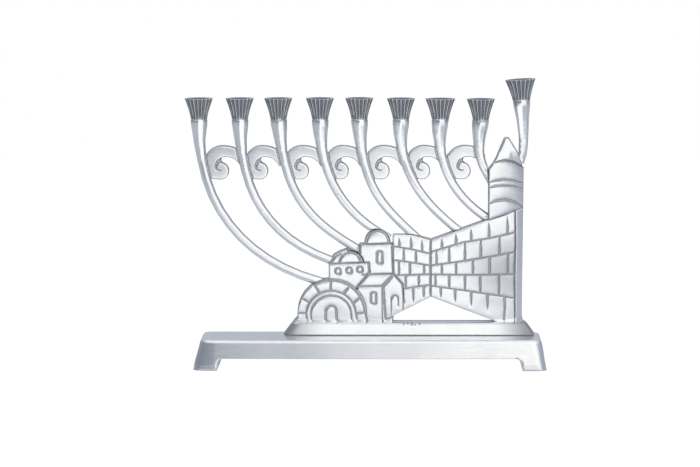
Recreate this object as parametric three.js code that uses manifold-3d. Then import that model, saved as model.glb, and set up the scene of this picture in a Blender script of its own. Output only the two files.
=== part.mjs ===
// Nine-light hanukkah lamp in cast aluminium: a bench base with a screwed-on openwork casting.
// The casting is a relief of an old walled town that carries eight swept arms, seven scrolls,
// the shamash arm and nine fluted candle cups. Units are millimetres, +Z is up, the front faces -Y.
// Everything is placed from the middle of the bench, and the group is centred on its own box at the end.

import * as THREE from 'three';
import { mergeVertices } from 'three/addons/utils/BufferGeometryUtils.js';
import Module from 'manifold-3d';

const wasm = await Module();
wasm.setup();

// Bench base
const benchLength = 263.4;
const benchEndLean = 5.5;
const benchDepth = 50;
const benchFrontLean = 4;
const benchHeight = 22.6;
const benchEdge = 1.2;
const benchArchHeight = 9.4;
const benchFootWidth = 18.4;
const benchFootLean = 2;
const benchArchRadius = 3;
const benchWall = 4.5;
const benchPocketInset = 3;

// Plinth of the upper casting
const plinthEndInset = 4;
const plinthTowerReach = 7.65;
const plinthDepth = 20;
const plinthBackInset = 0.5;
const plinthHeight = 9.4;
const plinthSlope = 4;
const plinthBackSlope = 1.5;
const plinthEndSlope = 7;
const plinthShoulderShares = [[0.28, 0.55], [0.62, 0.86]];

// Relief plate: its middle plane and the front faces of its pieces
const plateInset = 9.5;
const plateThickness = 8.6;
const gateProud = 0.9;
const wallSunk = 0.7;
const grooveWidth = 1.6;
const grooveDepth = 0.9;

// Gate arch
const gateInset = 35.8;
const gateHalfWidth = 25.7;
const gateHeight = 32.6;
const gateRingWidth = 6.6;
const gateInnerRingWidth = 3.8;
const gateDoorWidth = 9.8;
const gateDoorHeight = 13;
const voussoirAngles = [3, 33, 63, 92, 118, 147, 177];

// Small domed house
const smallHouseWidth = 30;
const smallHouseHeight = 44.8;
const smallHouseShift = 13;
const smallDomeHalfWidth = 11;
const smallDomeRise = 9.3;
const smallWindowDiameter = 6.2;
const smallWindowPitch = 8.2;
const smallWindowDrop = 5.4;

// Tall domed house
const tallHouseWidth = 24.6;
const tallHouseHeight = 58.9;
const tallHouseShift = 33.2;
const tallDomeHalfWidth = 10.4;
const tallDomeRise = 11.2;
const tallWindowWidth = 5.8;
const tallWindowHeight = 10.8;
const tallWindowDrop = 15.6;

// Low house with its pitched roof, and the gabled annexe
const lowHouseEave = 27.1;
const lowHouseRidge = 36.4;
const roofLean = 7.8;
const lowHouseShift = 19.4;
const gableShift = 37.7;
const gableWidth = 15.6;
const gableEave = 27.9;
const lowWindowWidth = 5.8;
const lowWindowHeight = 9.8;
const lowWindowFoot = 11.4;
const annexeDoorWidth = 5.6;
const annexeDoorHeight = 12.4;
const annexeDoorFoot = 9;
const annexeDoorShift = 2;

// Block walls, which meet at the corner, and the opening under them
const cornerPlace = 74.2;
const cornerTop = 62;
const cornerFoot = 19.3;
const leftWallWidth = 28;
const leftWallTop = 65.9;
const rightWallWidth = 63.4;
const rightWallTop = 84.8;
const openingLeftFoot = 4.7;
const openingRightReach = 50.4;
const leftCourseShares = [[0.77, 0.87], [0.55, 0.69], [0.39, 0.51], [0.2, 0.33]];
const rightCourseShares = [[0.8, 0.8], [0.56, 0.62], [0.39, 0.42], [0.18, 0.21]];
const wallTopShares = [1.1, 1.1];
const wallFootShares = [-0.1, -0.1];
const leftJointShares = [[0.24, 0.53, 0.85], [0.4, 0.73], [0.18, 0.56, 0.86], [0.32, 0.68], [0.19, 0.47]];
const rightJointShares = [
  [0.13, 0.3, 0.48, 0.69, 0.91],
  [0.07, 0.22, 0.4, 0.59, 0.81],
  [0.13, 0.3, 0.5, 0.7, 0.91],
  [0.06, 0.22, 0.4, 0.59, 0.81],
  [0.12, 0.29, 0.48, 0.67, 0.88],
];

// Tower
const towerWidth = 25.8;
const towerStrip = 5.6;
const towerBulge = 3.6;
const towerHeight = 119;
const towerRoofRise = 20;
const towerRoofShoulder = 1.2;
const towerTipRadius = 1.3;
const towerRoofBellyShares = [0.7, 0.5];
const towerBandDrops = [13.2, 17.4, 29];

// Candle cups and their arms
const cupPitch = 30.21;
const cupRowReach = 99.1;
const cupPlaceShares = [0, 1.014, 1.97, 3, 3.972, 5, 5.998, 7];
const cupHeight = 17;
const cupFlare = 1.4;
const cupRimDiameter = 21.3;
const cupFootDiameter = 12;
const cupFlutes = 18;
const fluteDepth = 0.9;
const fluteFootShare = 0.4;
const candleBore = 11;
const candleDepth = 10;
const armTop = 183.6;
const armWidth = 7.2;
const armTopWidth = 11.6;
const armFlareLength = 30;
const armDepth = 7.6;
const armRoot = 5;
const armBite = 2.2;
const gateArmAngle = 113;
const smallHouseArmShare = 0.2;
const tallHouseArmReach = 4.5;
const tallDomeArmAngle = 45;
const leftWallArmShare = 0.33;
const rightWallArmShare = 0.35;
const towerArmDrop = 11;
const armShares = [
  [-0.03, 0.52, 0.37, 0.87],
  [-0.01, 0.52, 0.32, 0.84],
  [0.06, 0.53, 0.31, 0.76],
  [-0.02, 0.52, 0.43, 0.82],
  [0.01, 0.57, 0.44, 0.74],
  [-0.09, 0.51, 0.53, 0.8],
  [-0.1, 0.54, 0.42, 0.83],
  [-0.5, 0.61, -0.03, 0.72],
];

// Shamash arm
const shamashInset = 1.35;
const shamashTop = 198.3;
const shamashLean = 3.5;
const shamashBow = 3.6;
const shamashFootInset = 1.2;
const shamashFootShare = 0.5;

// Scrolls
const scrollDrop = 18.9;
const scrollHeight = 25.6;
const scrollDepth = 6;
const scrollWeb = 3;
const scrollReveal = 1.3;
const scrollGroove = 1.3;
const scrollShares = [
  [0.1, 0.3], [0.18, 0.22], [0.33, 0.13], [0.42, 0.035], [0.55, 0], [0.74, 0.03], [0.91, 0.08], [1.08, 0.14],
  [1.08, 0.7], [0.99, 0.65], [0.91, 0.47], [0.82, 0.38], [0.69, 0.34], [0.6, 0.33], [0.545, 0.38],
  [0.535, 0.46], [0.62, 0.53], [0.695, 0.63], [0.72, 0.74], [0.695, 0.855], [0.62, 0.955], [0.5, 1],
  [0.375, 0.985], [0.3, 0.956], [0.16, 0.9],
];
const volutePathShares = [[0.6, 0.44], [0.5, 0.47], [0.4, 0.54], [0.37, 0.63], [0.42, 0.72], [0.53, 0.74]];

// Screws from below
const screwDiameter = 5;
const screwHeadDiameter = 9.5;
const screwHeadHeight = 3;
const screwReach = 5.5;
const screwSocket = 4;
const screwSocketDepth = 1.8;
const washerDiameter = 11;
const washerThickness = 1;
const screwEndInset = 22.44;
const screwPocketInset = 8.54;

// Clearances
const seam = 0.35;
const screwClearance = 0.35;
const overrun = 3;
const mitreLimitShare = 0.4;

// Facets
const roundSides = 16;
const roofSides = 24;
const socketSides = 6;
const filletSteps = 4;
const armSides = 10;
const armSteps = 12;
const arcSteps = 14;

// Finishes
const polished = { color: 0xd8dde0, roughness: 0.28, metalness: 1 };
const cast = { color: 0x8f969b, roughness: 0.62, metalness: 1 };
const steel = { color: 0x9a9fa3, roughness: 0.4, metalness: 1 };

const group = new THREE.Group();
group.name = 'hanukkah_lamp';
const body = new THREE.Group();
group.add(body);

// Closed geometry to a solid, and a solid back to geometry
function toSolid(geometry) {
  const bare = geometry.clone();
  bare.deleteAttribute('normal');
  bare.deleteAttribute('uv');
  const merged = mergeVertices(bare, 1e-5);
  return new wasm.Manifold(new wasm.Mesh({
    numProp: 3,
    vertProperties: new Float32Array(merged.attributes.position.array),
    triVerts: new Uint32Array(merged.index.array),
  }));
}

function toGeometry(solid) {
  const mesh = solid.getMesh();
  const geometry = new THREE.BufferGeometry();
  geometry.setAttribute('position', new THREE.BufferAttribute(mesh.vertProperties, 3));
  geometry.setIndex(new THREE.BufferAttribute(mesh.triVerts, 1));
  geometry.computeVertexNormals();
  return geometry;
}

function addPiece(name, solid, finish, parent = body) {
  const mesh = new THREE.Mesh(toGeometry(solid), new THREE.MeshStandardMaterial(finish));
  mesh.name = name;
  parent.add(mesh);
  return mesh;
}

// Outlines are lists of points in the upright plane, x to the right and y for height
function point(x, z) {
  return new THREE.Vector2(x, z);
}

function arcPoints(centre, halfWidth, rise, fromDegrees, toDegrees, steps = arcSteps) {
  const points = [];
  for (let step = 0; step <= steps; step += 1) {
    const angle = THREE.MathUtils.degToRad(fromDegrees + (toDegrees - fromDegrees) * step / steps);
    points.push(point(centre.x + halfWidth * Math.cos(angle), centre.y + rise * Math.sin(angle)));
  }
  return points;
}

// Moves every side of a counter-clockwise outline outwards by the same distance
function growOutline(points, distance) {
  const count = points.length;
  return points.map((here, index) => {
    const before = here.clone().sub(points[(index + count - 1) % count]).normalize();
    const after = points[(index + 1) % count].clone().sub(here).normalize();
    const outBefore = point(before.y, -before.x);
    const outAfter = point(after.y, -after.x);
    const mitre = outBefore.clone().add(outAfter).normalize();
    return here.clone().addScaledVector(mitre, distance / Math.max(mitre.dot(outBefore), mitreLimitShare));
  });
}

// A band of even width along an open line of points
function ribbon(points, width) {
  const left = [];
  const right = [];
  points.forEach((here, index) => {
    const before = points[Math.max(index - 1, 0)];
    const after = points[Math.min(index + 1, points.length - 1)];
    const side = after.clone().sub(before).normalize();
    const normal = point(-side.y, side.x).multiplyScalar(width / 2);
    left.push(here.clone().add(normal));
    right.push(here.clone().sub(normal));
  });
  return left.concat(right.reverse());
}

// A flat piece between a front and a back plane, from an upright outline
function slab(outline, front, back) {
  const geometry = new THREE.ExtrudeGeometry(new THREE.Shape(outline), {
    depth: back - front,
    bevelEnabled: false,
    curveSegments: 1,
  });
  geometry.rotateX(Math.PI / 2);
  geometry.translate(0, back, 0);
  return toSolid(geometry);
}

// A bar along X with the outline given as (depth, height)
function bar(outline, left, right) {
  const geometry = new THREE.ExtrudeGeometry(new THREE.Shape(outline), {
    depth: right - left,
    bevelEnabled: false,
  });
  geometry.rotateX(Math.PI / 2);
  geometry.rotateZ(Math.PI / 2);
  geometry.translate(left, 0, 0);
  return toSolid(geometry);
}

// An upright post with the outline given as (x, depth)
function post(outline, bottom, top) {
  const geometry = new THREE.ExtrudeGeometry(new THREE.Shape(outline), {
    depth: top - bottom,
    bevelEnabled: false,
  });
  geometry.translate(0, 0, bottom);
  return toSolid(geometry);
}

function uprightCylinder(diameter, bottom, top, x, y, sides = roundSides) {
  const geometry = new THREE.CylinderGeometry(diameter / 2, diameter / 2, top - bottom, sides);
  geometry.rotateX(Math.PI / 2);
  geometry.translate(x, y, (top + bottom) / 2);
  return toSolid(geometry);
}

function joinAll(solids) {
  return solids.reduce((sum, solid) => sum.add(solid));
}

// What is left of an arm or scroll on its own side of the piece that cuts it
function mainBody(solid) {
  return solid.decompose().reduce((largest, other) => (other.volume() > largest.volume() ? other : largest));
}

// The plinth is as long as the relief on it and ends near the bench's right end
const benchTopLength = benchLength - 2 * benchEndLean;
const benchTopDepth = benchDepth - 2 * benchFrontLean;
const plinthLength = gateInset + cornerPlace + rightWallWidth + seam + towerStrip + plinthTowerReach;
const plinthRight = benchTopLength / 2 - plinthEndInset;
const plinthLeft = plinthRight - plinthLength;
const plinthBack = benchTopDepth / 2 - plinthBackInset;
const plinthFront = plinthBack - plinthDepth;
const plinthTop = benchHeight + plinthHeight;

// Bench base: one outline seen from the front crossed with one seen from the end
const footInner = benchLength / 2 - benchFootWidth;
const archInner = footInner - benchFootLean;
const pocketHalf = archInner - benchPocketInset;
const pocketDepthHalf = benchTopDepth / 2 - benchWall;
const pocketTop = benchHeight - benchWall;
const screwLeft = Math.max(plinthLeft + screwEndInset, screwPocketInset - pocketHalf);
const screwRight = Math.min(plinthRight - screwEndInset, pocketHalf - screwPocketInset);
const screwPlaces = [screwLeft, (screwLeft + screwRight) / 2, screwRight];
const screwDepthPlace = plinthBack - plinthDepth / 2;
const screwHoleDiameter = screwDiameter + 2 * screwClearance;

function benchProfile(bottomHalf, topHalf) {
  return [
    point(bottomHalf, 0),
    point(topHalf, benchHeight - benchEdge),
    point(topHalf - benchEdge, benchHeight),
    point(benchEdge - topHalf, benchHeight),
    point(-topHalf, benchHeight - benchEdge),
    point(-bottomHalf, 0),
  ];
}

function archOutline() {
  const rightArc = arcPoints(
    point(archInner - benchArchRadius, benchArchHeight - benchArchRadius),
    benchArchRadius, benchArchRadius, 0, 90, filletSteps,
  );
  const leftArc = rightArc.map((corner) => point(-corner.x, corner.y)).reverse();
  return [point(footInner, -overrun), ...rightArc, ...leftArc, point(-footInner, -overrun)];
}

const screwHoles = screwPlaces.map((place) => uprightCylinder(
  screwHoleDiameter, pocketTop - overrun, benchHeight + overrun, place, screwDepthPlace,
));
const pocket = post([
  point(pocketHalf, -pocketDepthHalf),
  point(pocketHalf, pocketDepthHalf),
  point(-pocketHalf, pocketDepthHalf),
  point(-pocketHalf, -pocketDepthHalf),
], -overrun, pocketTop);
const bench = slab(benchProfile(benchLength / 2, benchTopLength / 2), -benchDepth, benchDepth)
  .intersect(bar(benchProfile(benchDepth / 2, benchTopDepth / 2), -benchLength, benchLength))
  .subtract(slab(archOutline(), -benchDepth, benchDepth))
  .subtract(pocket)
  .subtract(joinAll(screwHoles));
addPiece('base_bench', bench, polished);

// Plinth, with blind holes for the screws
const plinthShoulder = plinthShoulderShares.map(([along, up]) => point(
  plinthLeft + along * plinthEndSlope,
  benchHeight + up * plinthHeight,
)).reverse();
const plinthOutline = [
  point(plinthLeft, benchHeight),
  point(plinthRight, benchHeight),
  point(plinthRight - plinthEndSlope, plinthTop),
  point(plinthLeft + plinthEndSlope, plinthTop),
  ...plinthShoulder,
];
const plinthSection = [
  point(plinthFront, benchHeight),
  point(plinthBack, benchHeight),
  point(plinthBack - plinthBackSlope, plinthTop),
  point(plinthFront + plinthSlope, plinthTop),
];
const threadTop = benchHeight + screwReach + screwClearance;
const threadHoles = screwPlaces.map((place) => uprightCylinder(
  screwHoleDiameter, benchHeight - overrun, threadTop, place, screwDepthPlace,
));
const plinth = slab(plinthOutline, -benchDepth, benchDepth)
  .intersect(bar(plinthSection, -benchLength, benchLength))
  .subtract(joinAll(threadHoles));
addPiece('plinth', plinth, polished);

// Screws and washers, up through the top of the bench
const washerBottom = pocketTop - washerThickness;
const headBottom = washerBottom - screwHeadHeight;
screwPlaces.forEach((place, index) => {
  const disc = (diameter, bottom, top, sides) => uprightCylinder(
    diameter, bottom, top, place, screwDepthPlace, sides,
  );
  const washer = disc(washerDiameter, washerBottom, pocketTop)
    .subtract(disc(screwHoleDiameter, washerBottom - overrun, pocketTop + overrun));
  const shank = disc(screwDiameter, washerBottom - washerThickness, benchHeight + screwReach);
  const socket = disc(screwSocket, headBottom - overrun, headBottom + screwSocketDepth, socketSides);
  const screw = disc(screwHeadDiameter, headBottom, washerBottom).add(shank).subtract(socket);
  addPiece(`base_washer_${index + 1}`, washer, steel);
  addPiece(`base_screw_${index + 1}`, screw, steel);
});

// Relief pieces, front ones first: each is cut by the ones before it, grown by the seam
const plateMiddle = plinthBack - plateInset;
const plateFront = plateMiddle - plateThickness / 2;
const plateBack = plateMiddle + plateThickness / 2;
let reliefClearance = null;

function grownSlab(outline) {
  return slab(growOutline(outline, seam), plinthFront - benchDepth, plinthBack + benchDepth);
}

function addRelief(name, outline, solid) {
  const fitted = reliefClearance ? solid.subtract(reliefClearance) : solid;
  const grown = grownSlab(outline);
  reliefClearance = reliefClearance ? reliefClearance.add(grown) : grown;
  addPiece(name, fitted, polished);
}

function grooves(lines, front) {
  return joinAll(lines.map((line) => slab(ribbon(line, grooveWidth), front - overrun, front + grooveDepth)));
}

// An upside-down U, for doors, windows and rings
function archLine(centre, foot, halfWidth, height) {
  const spring = Math.max(foot, height + foot - halfWidth);
  return [
    point(centre + halfWidth, foot),
    ...arcPoints(point(centre, spring), halfWidth, halfWidth, 0, 180),
    point(centre - halfWidth, foot),
  ];
}

// Closed slot with a round top, cut as a window
function windowGroove(centre, foot, width, height, front) {
  const outer = archLine(centre, foot, width / 2, height);
  const inner = archLine(centre, foot + grooveWidth, width / 2 - grooveWidth, height - 2 * grooveWidth);
  return slab(outer, front - overrun, front + grooveDepth)
    .subtract(slab(inner, front - 2 * overrun, front + 2 * grooveDepth));
}

// Gate arch with its rings, voussoirs and door
const gatePlace = plinthLeft + gateInset;
const gateFront = plateFront - gateProud;
const gateOutline = archLine(gatePlace, plinthTop, gateHalfWidth, gateHeight).slice(1, -1);
gateOutline.push(point(gatePlace - gateHalfWidth, plinthTop), point(gatePlace + gateHalfWidth, plinthTop));
const gateRing = gateHalfWidth - gateRingWidth;
const gateInnerRing = gateRing - gateInnerRingWidth;
const gateSpring = plinthTop + gateHeight - gateHalfWidth;
const gateRingHeight = gateHeight - gateRingWidth - grooveWidth;
const voussoirs = voussoirAngles.map((degrees) => {
  const angle = THREE.MathUtils.degToRad(degrees);
  return [gateRing, gateHalfWidth + overrun].map((reach) => point(
    gatePlace + reach * Math.cos(angle),
    gateSpring + reach * Math.sin(angle),
  ));
});
const gateLines = [
  archLine(gatePlace, plinthTop + grooveWidth, gateRing, gateRingHeight),
  archLine(gatePlace, plinthTop + grooveWidth, gateInnerRing, gateRingHeight - gateInnerRingWidth),
  archLine(gatePlace, plinthTop + grooveWidth, gateDoorWidth / 2, gateDoorHeight),
  ...voussoirs,
];
addRelief('gate_arch', gateOutline,
  slab(gateOutline, gateFront, plateBack).subtract(grooves(gateLines, gateFront)));

// Gabled annexe, in front of the low house
const lowHouseLeft = gatePlace + lowHouseShift;
const gableLeft = gatePlace + gableShift;
const gableRight = gableLeft + gableWidth;
const gableApex = gableLeft + roofLean;
const corner = gatePlace + cornerPlace;
const cornerLow = point(corner, plinthTop + cornerFoot);
const openingLeft = point(gableApex, plinthTop + openingLeftFoot);
const gableFoot = cornerLow.clone().lerp(openingLeft, (corner - gableRight) / (corner - gableApex));
const gableOutline = [
  point(gableLeft + seam, plinthTop),
  point(gableApex, plinthTop),
  openingLeft,
  gableFoot,
  point(gableRight, plinthTop + gableEave),
  point(gableApex, plinthTop + lowHouseRidge),
  point(gableLeft, plinthTop + gableEave),
];
const annexeDoor = archLine(
  gableApex + annexeDoorShift, plinthTop + annexeDoorFoot, annexeDoorWidth / 2, annexeDoorHeight,
);
addRelief('gable_house', gableOutline,
  slab(gableOutline, plateFront, plateBack).subtract(grooves([annexeDoor], plateFront)));

// Low house, its roof leaning to the left of the gable
const lowHouseOutline = [
  point(lowHouseLeft, plinthTop),
  point(gableLeft, plinthTop),
  point(gableLeft, plinthTop + gableEave),
  point(gableApex, plinthTop + lowHouseRidge),
  point(lowHouseLeft + roofLean, plinthTop + lowHouseRidge),
  point(lowHouseLeft, plinthTop + lowHouseEave),
];
const eaveLine = [
  point(lowHouseLeft - overrun, plinthTop + lowHouseEave),
  point(gableLeft + overrun, plinthTop + lowHouseEave),
];
const lowWindowPlace = gableLeft - lowWindowWidth - grooveWidth;
const lowWindow = windowGroove(
  lowWindowPlace, plinthTop + lowWindowFoot, lowWindowWidth, lowWindowHeight, plateFront,
);
addRelief('low_house', lowHouseOutline,
  slab(lowHouseOutline, plateFront, plateBack).subtract(grooves([eaveLine], plateFront)).subtract(lowWindow));

// Small domed house behind the gate, with three round windows
const smallCentre = gatePlace + smallHouseShift;
const smallTop = plinthTop + smallHouseHeight;
const smallHouseOutline = [
  point(smallCentre - smallHouseWidth / 2, plinthTop + gateHeight - gateRingWidth),
  point(smallCentre + smallHouseWidth / 2, plinthTop + gateHeight - gateRingWidth),
  point(smallCentre + smallHouseWidth / 2, smallTop),
  point(smallCentre - smallHouseWidth / 2, smallTop),
];
const smallWindows = joinAll([-1, 0, 1].map((place) => {
  const centre = point(smallCentre + place * smallWindowPitch, smallTop - smallWindowDrop);
  const radius = smallWindowDiameter / 2;
  const outer = arcPoints(centre, radius, radius, 0, 360).slice(1);
  const inner = arcPoints(centre, radius - grooveWidth, radius - grooveWidth, 0, 360).slice(1);
  return slab(outer, plateFront - overrun, plateFront + grooveDepth)
    .subtract(slab(inner, plateFront - 2 * overrun, plateFront + 2 * grooveDepth));
}));
addRelief('small_domed_house', smallHouseOutline,
  slab(smallHouseOutline, plateFront, plateBack).subtract(smallWindows));
const smallDomeOutline = arcPoints(point(smallCentre, smallTop), smallDomeHalfWidth, smallDomeRise, 0, 180);
addRelief('small_dome', smallDomeOutline, slab(smallDomeOutline, plateFront, plateBack));

// Tall domed house
const tallCentre = gatePlace + tallHouseShift;
const tallTop = plinthTop + tallHouseHeight;
const tallHouseOutline = [
  point(tallCentre - tallHouseWidth / 2, plinthTop + lowHouseRidge + seam),
  point(tallCentre + tallHouseWidth / 2, plinthTop + lowHouseRidge + seam),
  point(tallCentre + tallHouseWidth / 2, tallTop),
  point(tallCentre - tallHouseWidth / 2, tallTop),
];
const tallWindow = windowGroove(
  tallCentre, tallTop - tallWindowDrop, tallWindowWidth, tallWindowHeight, plateFront,
);
addRelief('tall_house', tallHouseOutline,
  slab(tallHouseOutline, plateFront, plateBack).subtract(tallWindow));
const tallDomeOutline = arcPoints(point(tallCentre, tallTop), tallDomeHalfWidth, tallDomeRise, 0, 180);
addRelief('tall_dome', tallDomeOutline, slab(tallDomeOutline, plateFront, plateBack));

// Block walls: courses run from the corner to the outer edge, joints stand between them
const wallFront = plateFront + wallSunk;

function wallJoints(near, far, courseShares, jointShares) {
  const level = (share, along) => {
    const bottom = THREE.MathUtils.lerp(near[0].y, far[0].y, along);
    const top = THREE.MathUtils.lerp(near[1].y, far[1].y, along);
    const x = THREE.MathUtils.lerp(near[0].x, far[0].x, along);
    return point(x, THREE.MathUtils.lerp(bottom, top, share));
  };
  const courses = [wallTopShares, ...courseShares, wallFootShares];
  const lines = courseShares.map(([nearShare, farShare]) => [level(nearShare, 0), level(farShare, 1)]);
  jointShares.forEach((places, row) => {
    places.forEach((along) => {
      const upper = THREE.MathUtils.lerp(courses[row][0], courses[row][1], along);
      const lower = THREE.MathUtils.lerp(courses[row + 1][0], courses[row + 1][1], along);
      lines.push([level(lower, along), level(upper, along)]);
    });
  });
  return grooves(lines, wallFront);
}

const cornerHigh = point(corner, plinthTop + cornerTop);
const leftWallEdge = corner - leftWallWidth;
const leftWallOutline = [
  cornerLow,
  cornerHigh,
  point((corner + leftWallEdge) / 2, plinthTop + leftWallTop),
  point(leftWallEdge, plinthTop + leftWallTop),
  openingLeft,
];
const leftWallHigh = point(leftWallEdge, plinthTop + leftWallTop);
const leftWall = slab(leftWallOutline, wallFront, plateBack).subtract(wallJoints(
  [cornerLow, cornerHigh], [openingLeft, leftWallHigh], leftCourseShares, leftJointShares,
));
addRelief('left_wall', leftWallOutline, leftWall);

const rightWallEdge = corner + rightWallWidth;
const openingRight = point(corner + openingRightReach, plinthTop);
const rightWallOutline = [
  point(corner + seam, plinthTop + cornerFoot),
  openingRight,
  point(rightWallEdge, plinthTop),
  point(rightWallEdge, plinthTop + rightWallTop),
  point(corner + seam, plinthTop + cornerTop),
];
const rightWallLow = point(rightWallEdge, plinthTop);
const rightWallHigh = point(rightWallEdge, plinthTop + rightWallTop);
const rightWall = slab(rightWallOutline, wallFront, plateBack).subtract(wallJoints(
  [cornerLow, cornerHigh], [rightWallLow, rightWallHigh], rightCourseShares, rightJointShares,
));
addRelief('right_wall', rightWallOutline, rightWall);

// Tower: its front is a shallow arc in plan, its back is flat
const towerRight = rightWallEdge + seam + towerStrip;
const towerCentre = towerRight - towerWidth / 2;
const towerLeft = towerRight - towerWidth;
const towerTop = plinthTop + towerHeight;
const towerPlan = [
  point(towerRight, plateBack),
  point(towerLeft, plateBack),
  point(towerLeft, plateFront),
  ...arcPoints(point(towerCentre, plateFront), towerWidth / 2, towerBulge, 180, 360).slice(1),
];
const towerOutline = [
  point(rightWallEdge + seam, plinthTop),
  point(towerRight, plinthTop),
  point(towerRight, towerTop),
  point(towerLeft, towerTop),
  point(towerLeft, plinthTop + rightWallTop / 2),
  point(rightWallEdge + seam, plinthTop + rightWallTop / 2),
];
const roofHalf = towerWidth / 2 - towerRoofShoulder;
const roofTip = towerTop + towerRoofRise;
const [bellyOut, bellyUp] = towerRoofBellyShares;
const roofOutline = [
  point(towerCentre + roofHalf, towerTop + seam),
  point(towerCentre + roofHalf * bellyOut, towerTop + towerRoofRise * bellyUp),
  point(towerCentre + towerTipRadius, roofTip - towerTipRadius),
  point(towerCentre, roofTip),
  point(towerCentre - towerTipRadius, roofTip - towerTipRadius),
  point(towerCentre - roofHalf * bellyOut, towerTop + towerRoofRise * bellyUp),
  point(towerCentre - roofHalf, towerTop + seam),
];
const roofProfile = [
  point(0, towerTop + seam),
  ...roofOutline.slice(0, 4).map((spot) => point(spot.x - towerCentre, spot.y)),
];
const roofGeometry = new THREE.LatheGeometry(roofProfile, roofSides);
roofGeometry.rotateX(Math.PI / 2);
roofGeometry.scale(1, (towerBulge + plateThickness / 2) / roofHalf, 1);
roofGeometry.translate(towerCentre, plateMiddle, 0);
const roof = toSolid(roofGeometry)
  .intersect(slab(growOutline(roofOutline, seam), -benchDepth, plateBack));
addRelief('tower_roof', roofOutline, roof);

const towerFront = plateFront - towerBulge;
const towerBands = grooves(towerBandDrops.map((drop) => [
  point(towerLeft - overrun, towerTop - drop),
  point(towerRight + overrun, towerTop - drop),
]), towerFront);
const tower = slab(towerOutline, -benchDepth, benchDepth)
  .intersect(post(towerPlan, benchHeight, roofTip))
  .subtract(towerBands);
addRelief('tower_shaft', towerOutline, tower);

// Arms: a bent bar that flares up to its cup, with its foot run into the relief and cut by it
function armCurve(top, foot, shares) {
  const run = foot.x - top.x;
  const drop = top.y - foot.y;
  return new THREE.CubicBezierCurve(
    top,
    point(top.x + shares[0] * run, top.y - shares[1] * drop),
    point(top.x + shares[2] * run, top.y - shares[3] * drop),
    foot,
  );
}

function armSolid(curve, topDirection, footShare, grow) {
  const geometry = new THREE.CylinderGeometry(1, 1, 1, armSides, armSteps + 1);
  const place = geometry.attributes.position;
  const top = curve.getPoint(0);
  for (let index = 0; index < place.count; index += 1) {
    const step = Math.round((0.5 - place.getY(index)) * (armSteps + 1));
    const along = Math.min(step / armSteps, 1);
    const tangent = step === 0 ? topDirection.clone() : curve.getTangent(along);
    const centre = curve.getPoint(along).addScaledVector(tangent, step > armSteps ? armRoot : 0);
    if (step === 0) {
      centre.addScaledVector(tangent, -grow);
    }
    const below = curve.getPoint(along).distanceTo(top);
    const flare = THREE.MathUtils.smoothstep(1 - below / armFlareLength, 0, 1);
    const narrow = THREE.MathUtils.lerp(1, footShare, along ** 2);
    const halfWidth = THREE.MathUtils.lerp(armWidth * narrow, armTopWidth, flare) / 2 + grow;
    const halfDepth = THREE.MathUtils.lerp(armDepth * narrow, armTopWidth, flare) / 2 + grow;
    const across = place.getX(index) * halfWidth;
    place.setXYZ(
      index,
      centre.x - tangent.y * across,
      plateMiddle - place.getZ(index) * halfDepth,
      centre.y + tangent.x * across,
    );
  }
  return toSolid(geometry);
}

function onGate(degrees) {
  return arcPoints(point(gatePlace, gateSpring), gateHalfWidth, gateHalfWidth, degrees, degrees, 1)[0];
}

function onTallDome(degrees) {
  const centre = point(tallCentre, tallTop);
  return arcPoints(centre, tallDomeHalfWidth - armBite, tallDomeRise - armBite, degrees, degrees, 1)[0];
}

const armFeet = [
  onGate(gateArmAngle),
  point(smallCentre - smallHouseWidth / 2 + seam, smallTop + smallDomeRise * smallHouseArmShare),
  point(tallCentre - tallHouseWidth / 2 - tallHouseArmReach, tallTop - armBite),
  onTallDome(tallDomeArmAngle),
  cornerHigh.clone().lerp(leftWallHigh, leftWallArmShare).add(point(0, -armBite / 2)),
  cornerHigh.clone().lerp(rightWallHigh, rightWallArmShare).add(point(0, -armBite)),
  cornerHigh.clone().lerp(rightWallHigh, (towerLeft - corner) / rightWallWidth),
  point(towerLeft + armBite / 2, towerTop - towerArmDrop),
];
const cupPlaces = cupPlaceShares.map((share) => gatePlace - cupRowReach + share * cupPitch);
const straightDown = point(0, -1);
const armCurves = cupPlaces.map((place, index) => (
  armCurve(point(place, armTop), armFeet[index], armShares[index])
));
armCurves.forEach((curve, index) => {
  const arm = armSolid(curve, straightDown, 1, 0).subtract(reliefClearance);
  addPiece(`branch_${index + 1}`, mainBody(arm), polished);
});

// Fluted trumpet cups: every second corner of the ring is drawn in
function cupSolid() {
  const geometry = new THREE.CylinderGeometry(1, 1, 1, 2 * cupFlutes, 4);
  const place = geometry.attributes.position;
  for (let index = 0; index < place.count; index += 1) {
    const x = place.getX(index);
    const z = place.getZ(index);
    const up = place.getY(index) + 0.5;
    const turn = Math.round(Math.atan2(x, z) / Math.PI * cupFlutes);
    const drawn = turn % 2 === 0 ? 0 : fluteDepth * THREE.MathUtils.lerp(fluteFootShare, 1, up);
    const radius = THREE.MathUtils.lerp(cupFootDiameter, cupRimDiameter, up ** cupFlare) / 2 - drawn;
    const share = Math.hypot(x, z) * radius;
    const angle = turn * Math.PI / cupFlutes;
    place.setXYZ(index, share * Math.sin(angle), -share * Math.cos(angle), up * cupHeight);
  }
  return toSolid(geometry)
    .subtract(uprightCylinder(candleBore, cupHeight - candleDepth, cupHeight + overrun, 0, 0));
}

const cup = cupSolid();
cupPlaces.forEach((place, index) => {
  const mesh = addPiece(`cup_${index + 1}`, cup, cast);
  mesh.position.set(place, plateMiddle, armTop);
});

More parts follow.
